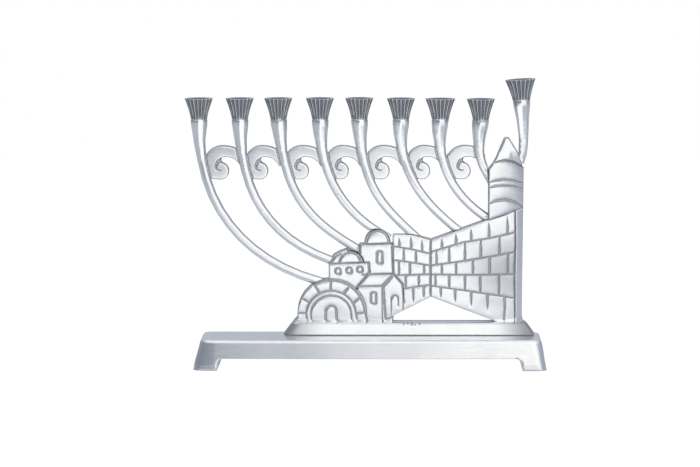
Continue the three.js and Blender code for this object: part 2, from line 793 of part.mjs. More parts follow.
// Shamash arm and cup, leaning a little to the left of upright
const lean = THREE.MathUtils.degToRad(shamashLean);
const shamashPlace = towerRight - shamashInset;
const shamashHead = point(shamashPlace, shamashTop);
const shamashDown = point(Math.sin(lean), -Math.cos(lean));
const shamashFoot = point(towerRight - shamashFootInset, towerTop);
const shamashCurve = new THREE.CubicBezierCurve(
  shamashHead,
  shamashHead.clone().addScaledVector(shamashDown, armFlareLength / 2),
  point(shamashPlace + shamashBow, (shamashTop + towerTop) / 2),
  shamashFoot,
);
const shamashArm = armSolid(shamashCurve, shamashDown, shamashFootShare, 0).subtract(reliefClearance);
addPiece('shamash_branch', mainBody(shamashArm), polished);
const shamashCup = addPiece('shamash_cup', cup, cast);
shamashCup.rotation.y = -lean;
shamashCup.position.set(
  shamashHead.x - shamashDown.x * seam,
  plateMiddle,
  shamashHead.y - shamashDown.y * seam,
);

// Scrolls: a raised volute with a thinner web that reaches both arms
armCurves.slice(1).forEach((rightCurve, index) => {
  const leftCurve = armCurves[index];
  const left = cupPlaces[index];
  const pitch = cupPlaces[index + 1] - left;
  const scrollTop = armTop - scrollDrop;
  const spot = ([along, down]) => point(left + along * pitch, scrollTop - down * scrollHeight);
  const outline = scrollShares.map(spot).reverse();
  const neighbours = (grow) => joinAll([leftCurve, rightCurve].map(
    (curve) => armSolid(curve, straightDown, 1, grow),
  ));
  const front = plateMiddle - scrollDepth / 2;
  const plate = slab(outline, front, front + scrollDepth).subtract(neighbours(scrollReveal));
  const web = slab(outline, plateMiddle - scrollWeb / 2, plateMiddle + scrollWeb / 2)
    .subtract(neighbours(seam));
  const volute = ribbon(volutePathShares.map(spot), scrollGroove);
  const groove = slab(volute, front - overrun, front + scrollGroove);
  const scroll = plate.add(web).subtract(groove).subtract(reliefClearance);
  addPiece(`scroll_${index + 1}`, mainBody(scroll), polished);
});

// Put the origin under the middle of the whole part
const box = new THREE.Box3().setFromObject(group);
const centre = box.getCenter(new THREE.Vector3());
body.position.set(-centre.x, -centre.y, -box.min.z);

export default group;
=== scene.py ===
# Nine-light hanukkah lamp in cast, hand-buffed aluminium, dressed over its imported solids.
# Lengths are metres, +Z is up and the relief faces -Y. The sections follow the lamp as it is put together.

import math

import bpy
import numpy as np
from mathutils import Matrix, Vector
from mathutils.kdtree import KDTree


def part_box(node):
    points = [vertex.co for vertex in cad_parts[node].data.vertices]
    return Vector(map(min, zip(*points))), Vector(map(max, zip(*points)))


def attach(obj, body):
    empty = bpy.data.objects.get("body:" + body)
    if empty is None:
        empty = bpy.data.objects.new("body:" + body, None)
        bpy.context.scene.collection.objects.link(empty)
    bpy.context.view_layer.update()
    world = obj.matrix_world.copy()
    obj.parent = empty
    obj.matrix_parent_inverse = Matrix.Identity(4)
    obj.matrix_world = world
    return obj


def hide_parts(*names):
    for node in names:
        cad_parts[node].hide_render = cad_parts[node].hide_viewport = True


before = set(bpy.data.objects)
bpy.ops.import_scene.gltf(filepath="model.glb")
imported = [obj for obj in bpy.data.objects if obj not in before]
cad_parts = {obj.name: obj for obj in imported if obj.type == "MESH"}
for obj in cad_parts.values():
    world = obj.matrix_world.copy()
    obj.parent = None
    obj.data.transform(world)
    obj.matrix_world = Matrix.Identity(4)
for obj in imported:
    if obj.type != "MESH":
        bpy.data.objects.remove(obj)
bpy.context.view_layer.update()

mm = 0.001

# Camera: a long lens a little above the cups, looking slightly down and to the left, as for a
# catalogue picture.
camera_place = Vector((29.4, -1900, 352)) * mm
camera_pitch = math.radians(7.55)
camera_yaw = math.radians(1.24)
camera_roll = math.radians(-0.185)
camera_lens = 131.96
camera_sensor = 36
camera_near = 10 * mm
look = Vector((-math.sin(camera_yaw) * math.cos(camera_pitch),
               math.cos(camera_yaw) * math.cos(camera_pitch),
               -math.sin(camera_pitch)))
level_right = look.cross(Vector((0, 0, 1))).normalized()
level_up = level_right.cross(look)
camera_right = level_right * math.cos(camera_roll) + level_up * math.sin(camera_roll)
camera_up = level_up * math.cos(camera_roll) - level_right * math.sin(camera_roll)
bpy.ops.object.camera_add()
camera = bpy.context.object
camera.name = "catalogue_camera"
camera.data.lens = camera_lens
camera.data.sensor_width = camera_sensor
camera.data.clip_start = camera_near
turn = Matrix((camera_right, camera_up, -look)).transposed()
camera.matrix_world = Matrix.Translation(camera_place) @ turn.to_4x4()
bpy.context.scene.camera = camera


# Bench base: a low table cast on its own as a hollow shell. Its ends flare into two full-depth feet,
# the buffing wheel has rolled its top edges and corners, and its underside keeps the sand skin.
bench_low, bench_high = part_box("base_bench")
left_foot_flare = 1 * mm
bench_low.x -= left_foot_flare
bench_end_lean = 5.5 * mm
bench_front_lean = 4 * mm
bench_edge = 1.7 * mm
bench_corner = 6 * mm
foot_width = 18.4 * mm
foot_lean = 2 * mm
arch_height = 8.9 * mm
arch_radius = 3 * mm
bench_wall = 4.5 * mm
hollow_inset = 3 * mm
bench_voxel = 0.9 * mm
bench_smoothing = 3
foot_round = 1.1 * mm
foot_reach_up = 5 * mm
bench_bow = 1.3 * mm
left_end_shift = 0.7 * mm
left_round = 2.4 * mm
left_round_reach = 18 * mm
right_end_shift = 1.3 * mm
end_reach = 14 * mm
bench_swell = 0.12 * mm
bench_swell_size = 38 * mm
bench_swell_low = 2 * mm
bench_swell_high = 6 * mm
hollow_rough_reach = 1.5 * mm

# Finish of all the castings: colours, grain, the marks for sand skin and buffed metal, and the painted shade
# at the sand skin's rim
bright = (0.97, 0.975, 0.985, 1)
sand_grey = (0.8, 0.81, 0.83, 1)
buffed_roughness = 0.2
buffed_raggedness = 0.3
sand_relief = 0.09 * mm
brush_relief = 0.005 * mm
grain_scale = 2300
stipple_scale = 1100
cloud_scale = 60
brush_scale = (160, 160, 2600)
brush_turn = 0.35
brush_haze = (-0.03, 0.05)
pit_scale = 240
pit_chance = (0.972, 0.975)
pit_edge = (0.13, 0.05)
buffed_line = (-0.06, 0.1)
# Painted shade: the sand skin just outside the buffed face is darkened towards a dark grey, as shade along
# the groove walls
rim_shade_line = (-0.45, -0.12)
rim_shade_share = 0.5
rim_painted_shade = (0.1, 0.105, 0.115, 1)
cloud_grey = (0.3, 0.34, 0.4, 1)
cloud_share = 0.05
sand_dark_share = 0.4
sand_roughness = 0.6
sand_mark = -1.5
polish_mark = 1.5


def start():
    if bpy.context.mode != "OBJECT":
        bpy.ops.object.mode_set(mode="OBJECT")
    bpy.ops.object.select_all(action="DESELECT")


def pick(piece):
    start()
    piece.select_set(True)
    bpy.context.view_layer.objects.active = piece


def use_modifier(piece, kind, **settings):
    pick(piece)
    modifier = piece.modifiers.new(kind.lower(), kind)
    for name, value in settings.items():
        setattr(modifier, name, value)
    bpy.ops.object.modifier_apply(modifier=modifier.name)


def block(name, low, high):
    start()
    low, high = Vector(low), Vector(high)
    bpy.ops.mesh.primitive_cube_add(size=1, location=(low + high) / 2, scale=high - low)
    bpy.ops.object.transform_apply(location=True, rotation=True, scale=True)
    piece = bpy.context.object
    piece.name = name
    return piece


def choose(piece, kind, test):
    """Selects the vertices, edges or polygons that a test accepts, and opens edit mode."""
    pick(piece)
    wanted = [test(part) for part in getattr(piece.data, kind)]
    bpy.ops.object.mode_set(mode="EDIT")
    bpy.ops.mesh.select_mode(type={"vertices": "VERT", "edges": "EDGE", "polygons": "FACE"}[kind])
    bpy.ops.mesh.select_all(action="DESELECT")
    bpy.ops.object.mode_set(mode="OBJECT")
    for part, chosen in zip(getattr(piece.data, kind), wanted):
        part.select = chosen
    bpy.ops.object.mode_set(mode="EDIT")


def edge_ends(piece, edge):
    return [piece.data.vertices[index].co for index in edge.vertices]


def take_from(piece, cutter):
    use_modifier(piece, "BOOLEAN", object=cutter, operation="DIFFERENCE", solver="EXACT")
    bpy.data.objects.remove(cutter)


def read_vertices(piece, name="position"):
    values = np.empty(3 * len(piece.data.vertices), np.float32)
    if name == "position":
        piece.data.vertices.foreach_get("co", values)
    else:
        piece.data.vertex_normals.foreach_get("vector", values)
    return values.reshape(-1, 3).astype(float)


def write_vertices(piece, places):
    piece.data.vertices.foreach_set("co", places.astype(np.float32).ravel())
    piece.data.update()


def smooth_step(values, low, high):
    share = np.clip((values - low) / (high - low), 0, 1)
    return share * share * (3 - 2 * share)


def uneven(places, size):
    """A soft hand-made unevenness between -1 and 1. Its waves are about three times the size long."""
    x, y, z = (places / size).T
    return (np.sin(2.1 * x + 1.3 * z + 0.7) * np.cos(1.7 * z - 1.1 * x + 0.4 * y)
            + np.sin(0.9 * x - 2.3 * z + 1.9 * y + 2)) / 2


def mark_polish(piece, reach):
    """Stores how far each point lies inside the buffed face, in millimetres: negative is sand skin."""
    marks = piece.data.attributes.get("buffed") or piece.data.attributes.new("buffed", "FLOAT", "POINT")
    marks.data.foreach_set("value", np.asarray(reach, np.float32).ravel())


def even_skin(piece, voxel, smoothing, fill=0):
    """A fine even mesh over the piece, swollen by the fill, with edges eased as by a buffing wheel."""
    use_modifier(piece, "REMESH", mode="VOXEL", voxel_size=voxel)
    if fill:
        use_modifier(piece, "DISPLACE", strength=fill, mid_level=0)
    if smoothing:
        use_modifier(piece, "SMOOTH", factor=0.5, iterations=smoothing)
    for face in piece.data.polygons:
        face.use_smooth = True


def node(tree, kind, inputs=None, **settings):
    made = tree.nodes.new(kind)
    for name, value in settings.items():
        setattr(made, name, value)
    for key, value in (inputs or {}).items():
        if isinstance(value, bpy.types.NodeSocket):
            tree.links.new(value, made.inputs[key])
        else:
            made.inputs[key].default_value = value
    return made


def calculate(tree, operation, first, second=0.0):
    return node(tree, "ShaderNodeMath", {0: first, 1: second}, operation=operation).outputs[0]


def noise(tree, place, scale, detail=2):
    return node(tree, "ShaderNodeTexNoise", {"Vector": place, "Scale": scale, "Detail": detail}).outputs[0]


def ease(tree, value, low, high):
    made = node(tree, "ShaderNodeMapRange", {"Value": value, "From Min": low, "From Max": high},
                interpolation_type="SMOOTHSTEP")
    return made.outputs["Result"]


def blend(tree, share, first, second, kind="RGBA"):
    made = node(tree, "ShaderNodeMix", data_type=kind)
    places = (0, 6, 7) if kind == "RGBA" else (0, 2, 3)
    for index, value in zip(places, (share, first, second)):
        if isinstance(value, bpy.types.NodeSocket):
            tree.links.new(value, made.inputs[index])
        else:
            made.inputs[index].default_value = value
    return made.outputs[2 if kind == "RGBA" else 0]


def cast_finish_group():
    """Buffed metal and sand skin, told apart by how far a point lies inside the buffed face."""
    tree = bpy.data.node_groups.new("Buffed casting", "ShaderNodeTree")
    for name, kind, value in (("Inside", "NodeSocketFloat", 1.0),
                              ("Bright Colour", "NodeSocketColor", bright),
                              ("Sand Colour", "NodeSocketColor", sand_grey),
                              ("Bright Roughness", "NodeSocketFloat", buffed_roughness),
                              ("Raggedness", "NodeSocketFloat", buffed_raggedness)):
        tree.interface.new_socket(name=name, in_out="INPUT", socket_type=kind).default_value = value
    for name, kind in (("Colour", "NodeSocketColor"), ("Roughness", "NodeSocketFloat"),
                       ("Height", "NodeSocketFloat")):
        tree.interface.new_socket(name=name, in_out="OUTPUT", socket_type=kind)
    into = node(tree, "NodeGroupInput").outputs
    out = node(tree, "NodeGroupOutput")
    place = node(tree, "ShaderNodeTexCoord").outputs["Object"]
    grain = noise(tree, place, grain_scale)
    stipple = noise(tree, place, stipple_scale)
    cloud = noise(tree, place, cloud_scale, 3)
    stretched = node(tree, "ShaderNodeMapping", {"Vector": place, "Scale": brush_scale,
                                                 "Rotation": (0, brush_turn, 0)}).outputs[0]
    brushing = noise(tree, stretched, 1, 3)
    pits = node(tree, "ShaderNodeTexVoronoi", {"Vector": place, "Scale": pit_scale})
    chance = node(tree, "ShaderNodeSeparateColor", {"Color": pits.outputs["Color"]}).outputs[0]
    pit = calculate(tree, "MULTIPLY", ease(tree, chance, *pit_chance),
                    ease(tree, pits.outputs["Distance"], *pit_edge))

    # The buffed face ends in a ragged line, and the sand skin along its rim is darkened with painted shade,
    # darkest where the groove walls stand
    ragged = calculate(tree, "MULTIPLY", calculate(tree, "SUBTRACT", stipple, 0.5), into["Raggedness"])
    inside = calculate(tree, "ADD", into["Inside"], ragged)
    whole = calculate(tree, "SUBTRACT", 1.0, pit)
    buffed = calculate(tree, "MULTIPLY", ease(tree, inside, *buffed_line), whole)
    rim = calculate(tree, "MULTIPLY", ease(tree, inside, *rim_shade_line), rim_shade_share)

    dark = blend(tree, sand_dark_share, into["Sand Colour"], (0, 0, 0, 1))
    sand = blend(tree, ease(tree, grain, 0.36, 0.66), dark, into["Sand Colour"])
    sand = blend(tree, rim, sand, rim_painted_shade)
    dull = blend(tree, cloud_share, into["Bright Colour"], cloud_grey)
    clear = blend(tree, ease(tree, cloud, 0.38, 0.62), dull, into["Bright Colour"])
    haze = blend(tree, ease(tree, brushing, 0.3, 0.7), *brush_haze, "FLOAT")
    rough = calculate(tree, "ADD", into["Bright Roughness"], haze)
    sand_height = calculate(tree, "MULTIPLY", calculate(tree, "ADD", grain, stipple), sand_relief)
    bright_height = calculate(tree, "MULTIPLY", calculate(tree, "ADD", brushing, cloud), brush_relief)
    tree.links.new(blend(tree, buffed, sand, clear), out.inputs["Colour"])
    tree.links.new(blend(tree, buffed, sand_roughness, rough, "FLOAT"), out.inputs["Roughness"])
    tree.links.new(blend(tree, buffed, sand_height, bright_height, "FLOAT"), out.inputs["Height"])
    return tree


cast_finish = cast_finish_group()


def metal(name, bright_colour=bright, sand_colour=sand_grey, roughness=buffed_roughness,
          raggedness=buffed_raggedness):
    material = bpy.data.materials.new(name)
    material.use_nodes = True
    tree = material.node_tree
    shader = tree.nodes["Principled BSDF"]
    shader.inputs["Metallic"].default_value = 1
    inside = node(tree, "ShaderNodeAttribute", attribute_name="buffed").outputs["Fac"]
    finish = node(tree, "ShaderNodeGroup", node_tree=cast_finish)
    tree.links.new(inside, finish.inputs["Inside"])
    finish.inputs["Bright Colour"].default_value = bright_colour
    finish.inputs["Sand Colour"].default_value = sand_colour
    finish.inputs["Bright Roughness"].default_value = roughness
    finish.inputs["Raggedness"].default_value = raggedness
    bump = node(tree, "ShaderNodeBump", {"Height": finish.outputs["Height"], "Distance": 1})
    tree.links.new(finish.outputs["Colour"], shader.inputs["Base Color"])
    tree.links.new(finish.outputs["Roughness"], shader.inputs["Roughness"])
    tree.links.new(bump.outputs[0], shader.inputs["Normal"])
    return material


buffed_aluminium = metal("buffed_aluminium")


def put_on(piece, name, nodes, material=buffed_aluminium):
    start()
    piece.name = name
    piece.data.name = name
    piece.data.materials.clear()
    piece.data.materials.append(material)
    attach(piece, "root")
    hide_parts(*nodes)


bench_middle = (bench_low + bench_high) / 2
bench_size = bench_high - bench_low
bench = block("bench", bench_low, bench_high)
top_length_share = 1 - 2 * bench_end_lean / bench_size.x
top_depth_share = 1 - 2 * bench_front_lean / bench_size.y
choose(bench, "polygons", lambda face: face.normal.z > 0.9)
bpy.ops.transform.resize(value=(top_length_share, top_depth_share, 1), center_override=bench_middle)
choose(bench, "edges",
       lambda edge: abs(edge_ends(bench, edge)[0].z - edge_ends(bench, edge)[1].z) > bench_size.z / 2)
bpy.ops.mesh.bevel(offset=bench_corner, segments=8)
choose(bench, "edges",
       lambda edge: all(end.z > bench_high.z - bench_edge / 2 for end in edge_ends(bench, edge)))
bpy.ops.mesh.bevel(offset=bench_edge, segments=4)

arch_half = bench_size.x / 2 - foot_width
arch_low_half = arch_half + foot_lean
arch_top_share = (arch_half - foot_lean) / arch_low_half
arch = block("arch", (bench_middle.x - arch_low_half, bench_low.y - foot_width, -arch_height),
             (bench_middle.x + arch_low_half, bench_high.y + foot_width, arch_height))
choose(arch, "polygons", lambda face: face.normal.z > 0.9)
bpy.ops.transform.resize(value=(arch_top_share, 1, 1), center_override=bench_middle)
choose(arch, "edges", lambda edge: all(end.z > 0 for end in edge_ends(arch, edge))
       and abs(edge_ends(arch, edge)[0].y - edge_ends(arch, edge)[1].y) > foot_width)
bpy.ops.mesh.bevel(offset=arch_radius, segments=6)
start()
take_from(bench, arch)
hollow_half = arch_half - foot_lean - hollow_inset
hollow_depth = bench_size.y / 2 - bench_front_lean - bench_wall
hollow = block("hollow", (bench_middle.x - hollow_half, bench_middle.y - hollow_depth, -arch_height),
               (bench_middle.x + hollow_half, bench_middle.y + hollow_depth, bench_high.z - bench_wall))
take_from(bench, hollow)

screw_hole = 5.7 * mm
screw_middles = [sum(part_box(f"base_screw_{number}"), Vector()) / 2 for number in (1, 2, 3)]


def drill(piece, middle, low, high, width, sides=32):
    start()
    bpy.ops.mesh.primitive_cylinder_add(vertices=sides, radius=width / 2, depth=high - low,
                                        location=(middle.x, middle.y, (low + high) / 2))
    take_from(piece, bpy.context.object)


for middle in screw_middles:
    drill(bench, middle, bench_high.z - 2 * bench_wall, bench_high.z + bench_wall, screw_hole)
even_skin(bench, bench_voxel, bench_smoothing)
places = read_vertices(bench)
foot_worn = smooth_step(places[:, 2], foot_round, foot_reach_up)
places[:, 2] = np.where(places[:, 2] < foot_round, 0, places[:, 2] - foot_round * (1 - foot_worn))
normals = read_vertices(bench, "normal")
from_middle = (places[:, 0] - bench_middle.x) / (bench_size.x / 2)
forward = np.clip((bench_middle.y - places[:, 1]) / (bench_size.y / 2), 0, 1)
places[:, 1] += bench_bow * from_middle ** 2 * forward
near_left = np.clip((bench_low.x + left_round_reach - places[:, 0]) / left_round_reach, 0, 1)
places[:, 1] += left_round * near_left ** 2 * forward
risen = smooth_step(places[:, 2], arch_height / 2, bench_high.z - bench_edge)
places[:, 0] += left_end_shift * risen * smooth_step(places[:, 0], bench_low.x + end_reach, bench_low.x)
places[:, 0] += right_end_shift * risen * smooth_step(places[:, 0], bench_high.x - end_reach, bench_high.x)
swell = uneven(places, bench_swell_size) * bench_swell * (normals[:, 1] < -0.5)
places[:, 1] += swell * smooth_step(places[:, 2], bench_swell_low, bench_swell_high)
write_vertices(bench, places)
in_hollow = ((np.abs(places[:, 1] - bench_middle.y) < hollow_depth + hollow_rough_reach)
             & (places[:, 2] < bench_high.z - bench_wall / 2)
             & (np.abs(places[:, 0] - bench_middle.x) < arch_half))
mark_polish(bench, np.where((normals[:, 2] < -0.8) | in_hollow, sand_mark, polish_mark))
put_on(bench, "bench_casting", ["base_bench"])


# Fixings: three steel machine screws with hexagon sockets, each on a plain washer, drawn up through
# the bench into the plinth. They show only from below.
steel_bright = (0.6, 0.61, 0.63, 1)
steel_dull = (0.4, 0.41, 0.42, 1)
steel_roughness = 0.3
bright_steel = metal("bright_steel", steel_bright, steel_dull, steel_roughness, 0)
round_sides = 64
screw_shank = 5 * mm
socket_width = 4 * mm
socket_depth = 1.8 * mm
washer_edge = 0.15 * mm
screw_edge = 0.3 * mm
for number, middle in enumerate(screw_middles, 1):
    washer_low, washer_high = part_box(f"base_washer_{number}")
    screw_low, screw_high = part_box(f"base_screw_{number}")
    thickness = washer_high.z - washer_low.z
    start()
    bpy.ops.mesh.primitive_cylinder_add(vertices=round_sides, radius=(washer_high.x - washer_low.x) / 2,
                                        depth=thickness, location=(washer_low + washer_high) / 2)
    washer = bpy.context.object
    bpy.ops.object.transform_apply(location=True)
    drill(washer, middle, washer_low.z - thickness, washer_high.z + thickness, screw_hole)
    use_modifier(washer, "BEVEL", width=washer_edge, segments=2)
    mark_polish(washer, np.full(len(washer.data.vertices), polish_mark))
    put_on(washer, f"washer_{number}", [f"base_washer_{number}"], bright_steel)
    head_height = washer_low.z - screw_low.z
    head_radius = (screw_high.x - screw_low.x) / 2
    start()
    bpy.ops.mesh.primitive_cylinder_add(vertices=round_sides, radius=head_radius, depth=head_height,
                                        location=(middle.x, middle.y, screw_low.z + head_height / 2))
    screw = bpy.context.object
    bpy.ops.object.transform_apply(location=True)
    choose(screw, "polygons", lambda face: face.normal.z > 0.9)
    bpy.ops.mesh.inset(thickness=head_radius - screw_shank / 2)
    bpy.ops.mesh.extrude_region_move(TRANSFORM_OT_translate={"value": (0, 0, screw_high.z - washer_low.z)})
    start()
    drill(screw, middle, screw_low.z - socket_depth, screw_low.z + socket_depth, socket_width, 6)
    use_modifier(screw, "BEVEL", width=screw_edge, segments=3, limit_method="ANGLE")
    mark_polish(screw, np.full(len(screw.data.vertices), polish_mark))
    put_on(screw, f"screw_{number}", [f"base_screw_{number}"], bright_steel)


# Plinth: the foot of the upper casting, a long block with sloping, buffed front and ends. Its left
# end is rounded by the wheel, its right end keeps a mitre line, and its top is sand-rough at the back.
plinth_low, plinth_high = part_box("plinth")
plinth_spread = 1.2 * mm
plinth_low.x -= plinth_spread
plinth_high.x += plinth_spread
plinth_middle = (plinth_low + plinth_high) / 2
plinth_end_slope = 7 * mm
plinth_front_slope = 4 * mm
plinth_back_slope = 1.5 * mm
plinth_left_corner = 7 * mm
plinth_edge = 2.1 * mm
# Painted shade: the plinth's bright colour turns darker grey towards both ends, less at the left, for the
# ends' darker reflections
plinth_end_shade_reach = 34 * mm
plinth_end_shade_core = 2 * mm
plinth_end_shade = (0.3, 0.315, 0.34, 1)
plinth_end_shade_left_share = 0.75
plinth_joint = 0.5 * mm
plinth_joint_shade = 0.55 * mm
plinth_swell = 0.12 * mm
plinth_swell_size = 30 * mm
plinth_voxel = 0.6 * mm
plinth_smoothing = 2
screw_reach = 5.9 * mm
mitre_depth = 0.4 * mm
mitre_bottom = 0.3 * mm
mitre_reach = 1.1 * mm
mitre_dark = 0.5 * mm
level_share = 0.93
mark_sharpness = 6
pit_sharpness = 1.5

# Casting pits in the plinth's top edge: place along it, height and size, in millimetres
casting_pits = ((28.3, 30.6, 0.9), (31.6, 31, 0.8), (34.6, 30.7, 1.5), (37, 30.4, 0.9), (40.3, 30.9, 1.1))

plinth = block("plinth_blank", plinth_low, plinth_high)
for side, slope in (((-1, 0, 0), plinth_end_slope), ((1, 0, 0), plinth_end_slope),
                    ((0, -1, 0), plinth_front_slope), ((0, 1, 0), plinth_back_slope)):
    outward = Vector(side)
    choose(plinth, "edges",
           lambda edge: all((end - plinth_middle).dot(outward) > 0 and end.z > plinth_middle.z
                            for end in edge_ends(plinth, edge)))
    bpy.ops.transform.translate(value=outward * -slope)
choose(plinth, "edges", lambda edge: abs(edge_ends(plinth, edge)[0].z - edge_ends(plinth, edge)[1].z)
       > plinth_edge and edge_ends(plinth, edge)[0].x < plinth_middle.x)
bpy.ops.mesh.bevel(offset=plinth_left_corner, segments=8)
choose(plinth, "edges",
       lambda edge: all(end.z > plinth_high.z - plinth_edge / 2 for end in edge_ends(plinth, edge)))
bpy.ops.mesh.bevel(offset=plinth_edge, segments=3)
choose(plinth, "edges",
       lambda edge: all(end.z < plinth_low.z + plinth_joint / 2 for end in edge_ends(plinth, edge)))
bpy.ops.mesh.bevel(offset=plinth_joint, segments=2)
for middle in screw_middles:
    drill(plinth, middle, plinth_low.z - screw_reach, plinth_low.z + screw_reach, screw_hole)
even_skin(plinth, plinth_voxel, plinth_smoothing)
places = read_vertices(plinth)
normals = read_vertices(plinth, "normal")
mitre_foot = np.array((plinth_high.x, plinth_low.y, plinth_low.z))
mitre = np.array((-plinth_end_slope, plinth_front_slope, plinth_high.z - plinth_low.z))
along = np.clip((places - mitre_foot) @ mitre / (mitre @ mitre), 0, 1)
mitre_gap = np.linalg.norm(places - mitre_foot - along[:, None] * mitre, axis=1)
places -= normals * ((1 - smooth_step(mitre_gap, mitre_bottom, mitre_reach)) * mitre_depth)[:, None]
places[:, 1] += uneven(places, plinth_swell_size) * plinth_swell * (normals[:, 1] < -0.5)
write_vertices(plinth, places)

# Marks: the joint, whose real chamfer is marked as sand skin for a painted shade line, the rough back half
# of the top, the mitre line and a few small casting pits
joint = (places[:, 2] - plinth_low.z - plinth_joint_shade) / mm
sloping = (level_share - np.abs(normals[:, 2])) * mark_sharpness
top = np.maximum(sloping, (plinth_middle.y - places[:, 1]) / mm)
pits = np.full(len(places), polish_mark)
for x, z, size in casting_pits:
    away = np.hypot(places[:, 0] - x * mm, places[:, 2] - z * mm) / mm
    pits = np.minimum(pits, away * pit_sharpness - size)
mark_polish(plinth, np.minimum(np.minimum(joint, top), np.minimum((mitre_gap - mitre_dark) / mm, pits)))

# The plinth's own material carries that painted shade on its ends
plinth_aluminium = metal("plinth_aluminium")
tree = plinth_aluminium.node_tree
spot = node(tree, "ShaderNodeTexCoord").outputs["Object"]
along = node(tree, "ShaderNodeSeparateXYZ", {0: spot}).outputs[0]
left_end = ease(tree, along, plinth_low.x + plinth_end_shade_reach, plinth_low.x + plinth_end_shade_core)
right_end = ease(tree, along, plinth_high.x - plinth_end_shade_reach, plinth_high.x - plinth_end_shade_core)
left_end = calculate(tree, "MULTIPLY", left_end, plinth_end_shade_left_share)
shaded_ends = blend(tree, calculate(tree, "MAXIMUM", left_end, right_end), bright, plinth_end_shade)
tree.links.new(shaded_ends, tree.nodes["Group"].inputs["Bright Colour"])
put_on(plinth, "plinth_casting", ["plinth"], plinth_aluminium)


# Relief: the old town, one openwork plate of buildings and block walls. Its face is buffed flat, and
# the drawing is cut into it as grooves that keep the grey skin of the sand mould.
relief_voxel = 0.36 * mm
relief_smoothing = 2
relief_fill = 0.28 * mm
relief_cut = 2.2 * mm
groove_depth = 0.6 * mm
groove_wall = 0.28 * mm
groove_slim = 0.17 * mm
edge_fall = 0.3 * mm
edge_reach = 0.8 * mm
edge_shade = 0.2 * mm
pillow_depth = 0.13 * mm
pillow_reach = 1.3 * mm
flank_draft = 0.45 * mm
foot_fillet = 0.5 * mm
foot_sink = 1.2 * mm
foot_reach = 2.2 * mm
flare_reach = 4.6 * mm
gate_flare = 4.2 * mm
tower_flare = 1.6 * mm
face_catch = 0.9 * mm
flank_start = 1.2 * mm
draft_start = 0.6 * mm
groove_waver = 0.1 * mm
groove_waver_size = 2.4 * mm
face_swell = 0.05 * mm
face_swell_size = 7 * mm
stroke_reach = 6 * mm
far_away = 9 * mm
weld_reach = 0.001 * mm
mark_limit = 2
line_width = 1.7
gate_low, gate_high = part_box("gate_arch")
town_start = (gate_low.x + gate_high.x) / 2
strokes = []


def stroke(start_x, start_z, points, widths):
    """A line's places and half widths, from points and full widths in millimetres."""
    spots = [(start_x + x * mm, start_z + z * mm) for x, z in points]
    shares = np.linspace(0, len(widths) - 1, len(spots))
    return spots, np.interp(shares, range(len(widths)), widths) * mm / 2


def cut(points, *widths):
    """A groove in the town, through points given from the gate's middle and the plinth's top."""
    strokes.append(stroke(town_start, plinth_high.z, points, widths or (line_width,)))


def arc(x, z, half_width, rise, first, last, steps=16):
    angles = np.radians(np.linspace(first, last, steps + 1))
    return [(x + half_width * math.cos(angle), z + rise * math.sin(angle)) for angle in angles]


def ring(x, z, half_width, half_height, corner):
    """A closed slot-shaped line with rounded corners."""
    line = []
    for first, side, level in ((0, 1, 1), (90, -1, 1), (180, -1, -1), (270, 1, -1)):
        line += arc(x + side * (half_width - corner), z + level * (half_height - corner),
                    corner, corner, first, first + 90, 4)
    return line + line[:1]


# Gate arch: outer edge, two rings, seven voussoir joints and the door
gate_middle = -0.9
gate_spring = 5.6
cut(arc(gate_middle, 6.4, 25.4, 25.2, 120, 4) + [(26, 2.6)], 1.7, 1.9, 1.9, 1.4)
cut([(-19.1, 2.4)] + arc(gate_middle, gate_spring, 18.8, 18.2, 175, 5) + [(18.6, 2.4)], 1.3, 1.8, 1.8, 1.3)
cut([(-15.6, 2)] + arc(gate_middle, gate_spring, 15.2, 14.6, 175, 5) + [(14.7, 2)], 1.2, 1.9, 1.9, 1.2)
cut([(-4.9, 2)] + arc(-0.8, 8.4, 4, 4.2, 180, 0, 8) + [(3.4, 2)], 2.1)
voussoir_joints = (((-25.2, 6.9), (-20.2, 6.9)), ((-22.1, 17.7), (-17.7, 15.3)), ((-12.6, 27), (-9.9, 23)),
                   ((-1, 30.6), (-1, 24.2)), ((11.8, 26), (8.9, 22.2)), ((20, 18), (15.9, 14.7)),
                   ((24, 7.4), (18.6, 6.6)))
for outer_end, inner_end in voussoir_joints:
    cut([outer_end, inner_end], 1.7, 2.1)

# Small domed house: dome line, parapet, three ring windows and the seam towards its neighbours
cut([(5.6, 45.6)] + arc(13.5, 45.6, 7.6, 6.9, 172, 8, 12) + [(21.8, 46)], 1.8)
cut([(-1.2, 44.2), (13, 44.7), (27.4, 45.2)], 1.7)
cut([(-1, 44.9), (2.2, 49.6), (7, 52)], 1.6, 1.5, 0.9)
for middle in ((4.5, 38.6), (12.8, 39.2), (20.9, 39.9)):
    cut(ring(*middle, 2, 2.2, 1.6), 1.7)
cut([(27.5, 45.2), (28.1, 39), (27.3, 36.4), (19.3, 27.4), (18.2, 24.3)], 2, 2.1, 1.8)

# Tall domed house: dome line, parapet, left shoulder, slot window, right edge, foot and left edge
cut([(25.9, 59.3)] + arc(34.3, 60, 8.4, 8.9, 175, 5, 14) + [(42.7, 59.9)], 1.8)
cut([(21, 58.7), (33, 59.2), (45.4, 59.8)], 1.8)
cut([(27, 66.9), (25.6, 62.6), (24.4, 60.6), (21, 58.7)], 1.1, 1.7)
cut(ring(35.8, 49, 2, 4.6, 1.3), 1.9)
cut([(45.2, 59.6), (45.6, 48), (46.2, 36.8)], 2)
cut([(23.2, 35.8), (34, 36.3), (46.4, 36.7)], 1.9)
cut([(21.6, 58), (21.2, 47)], 1.2, 0.8)

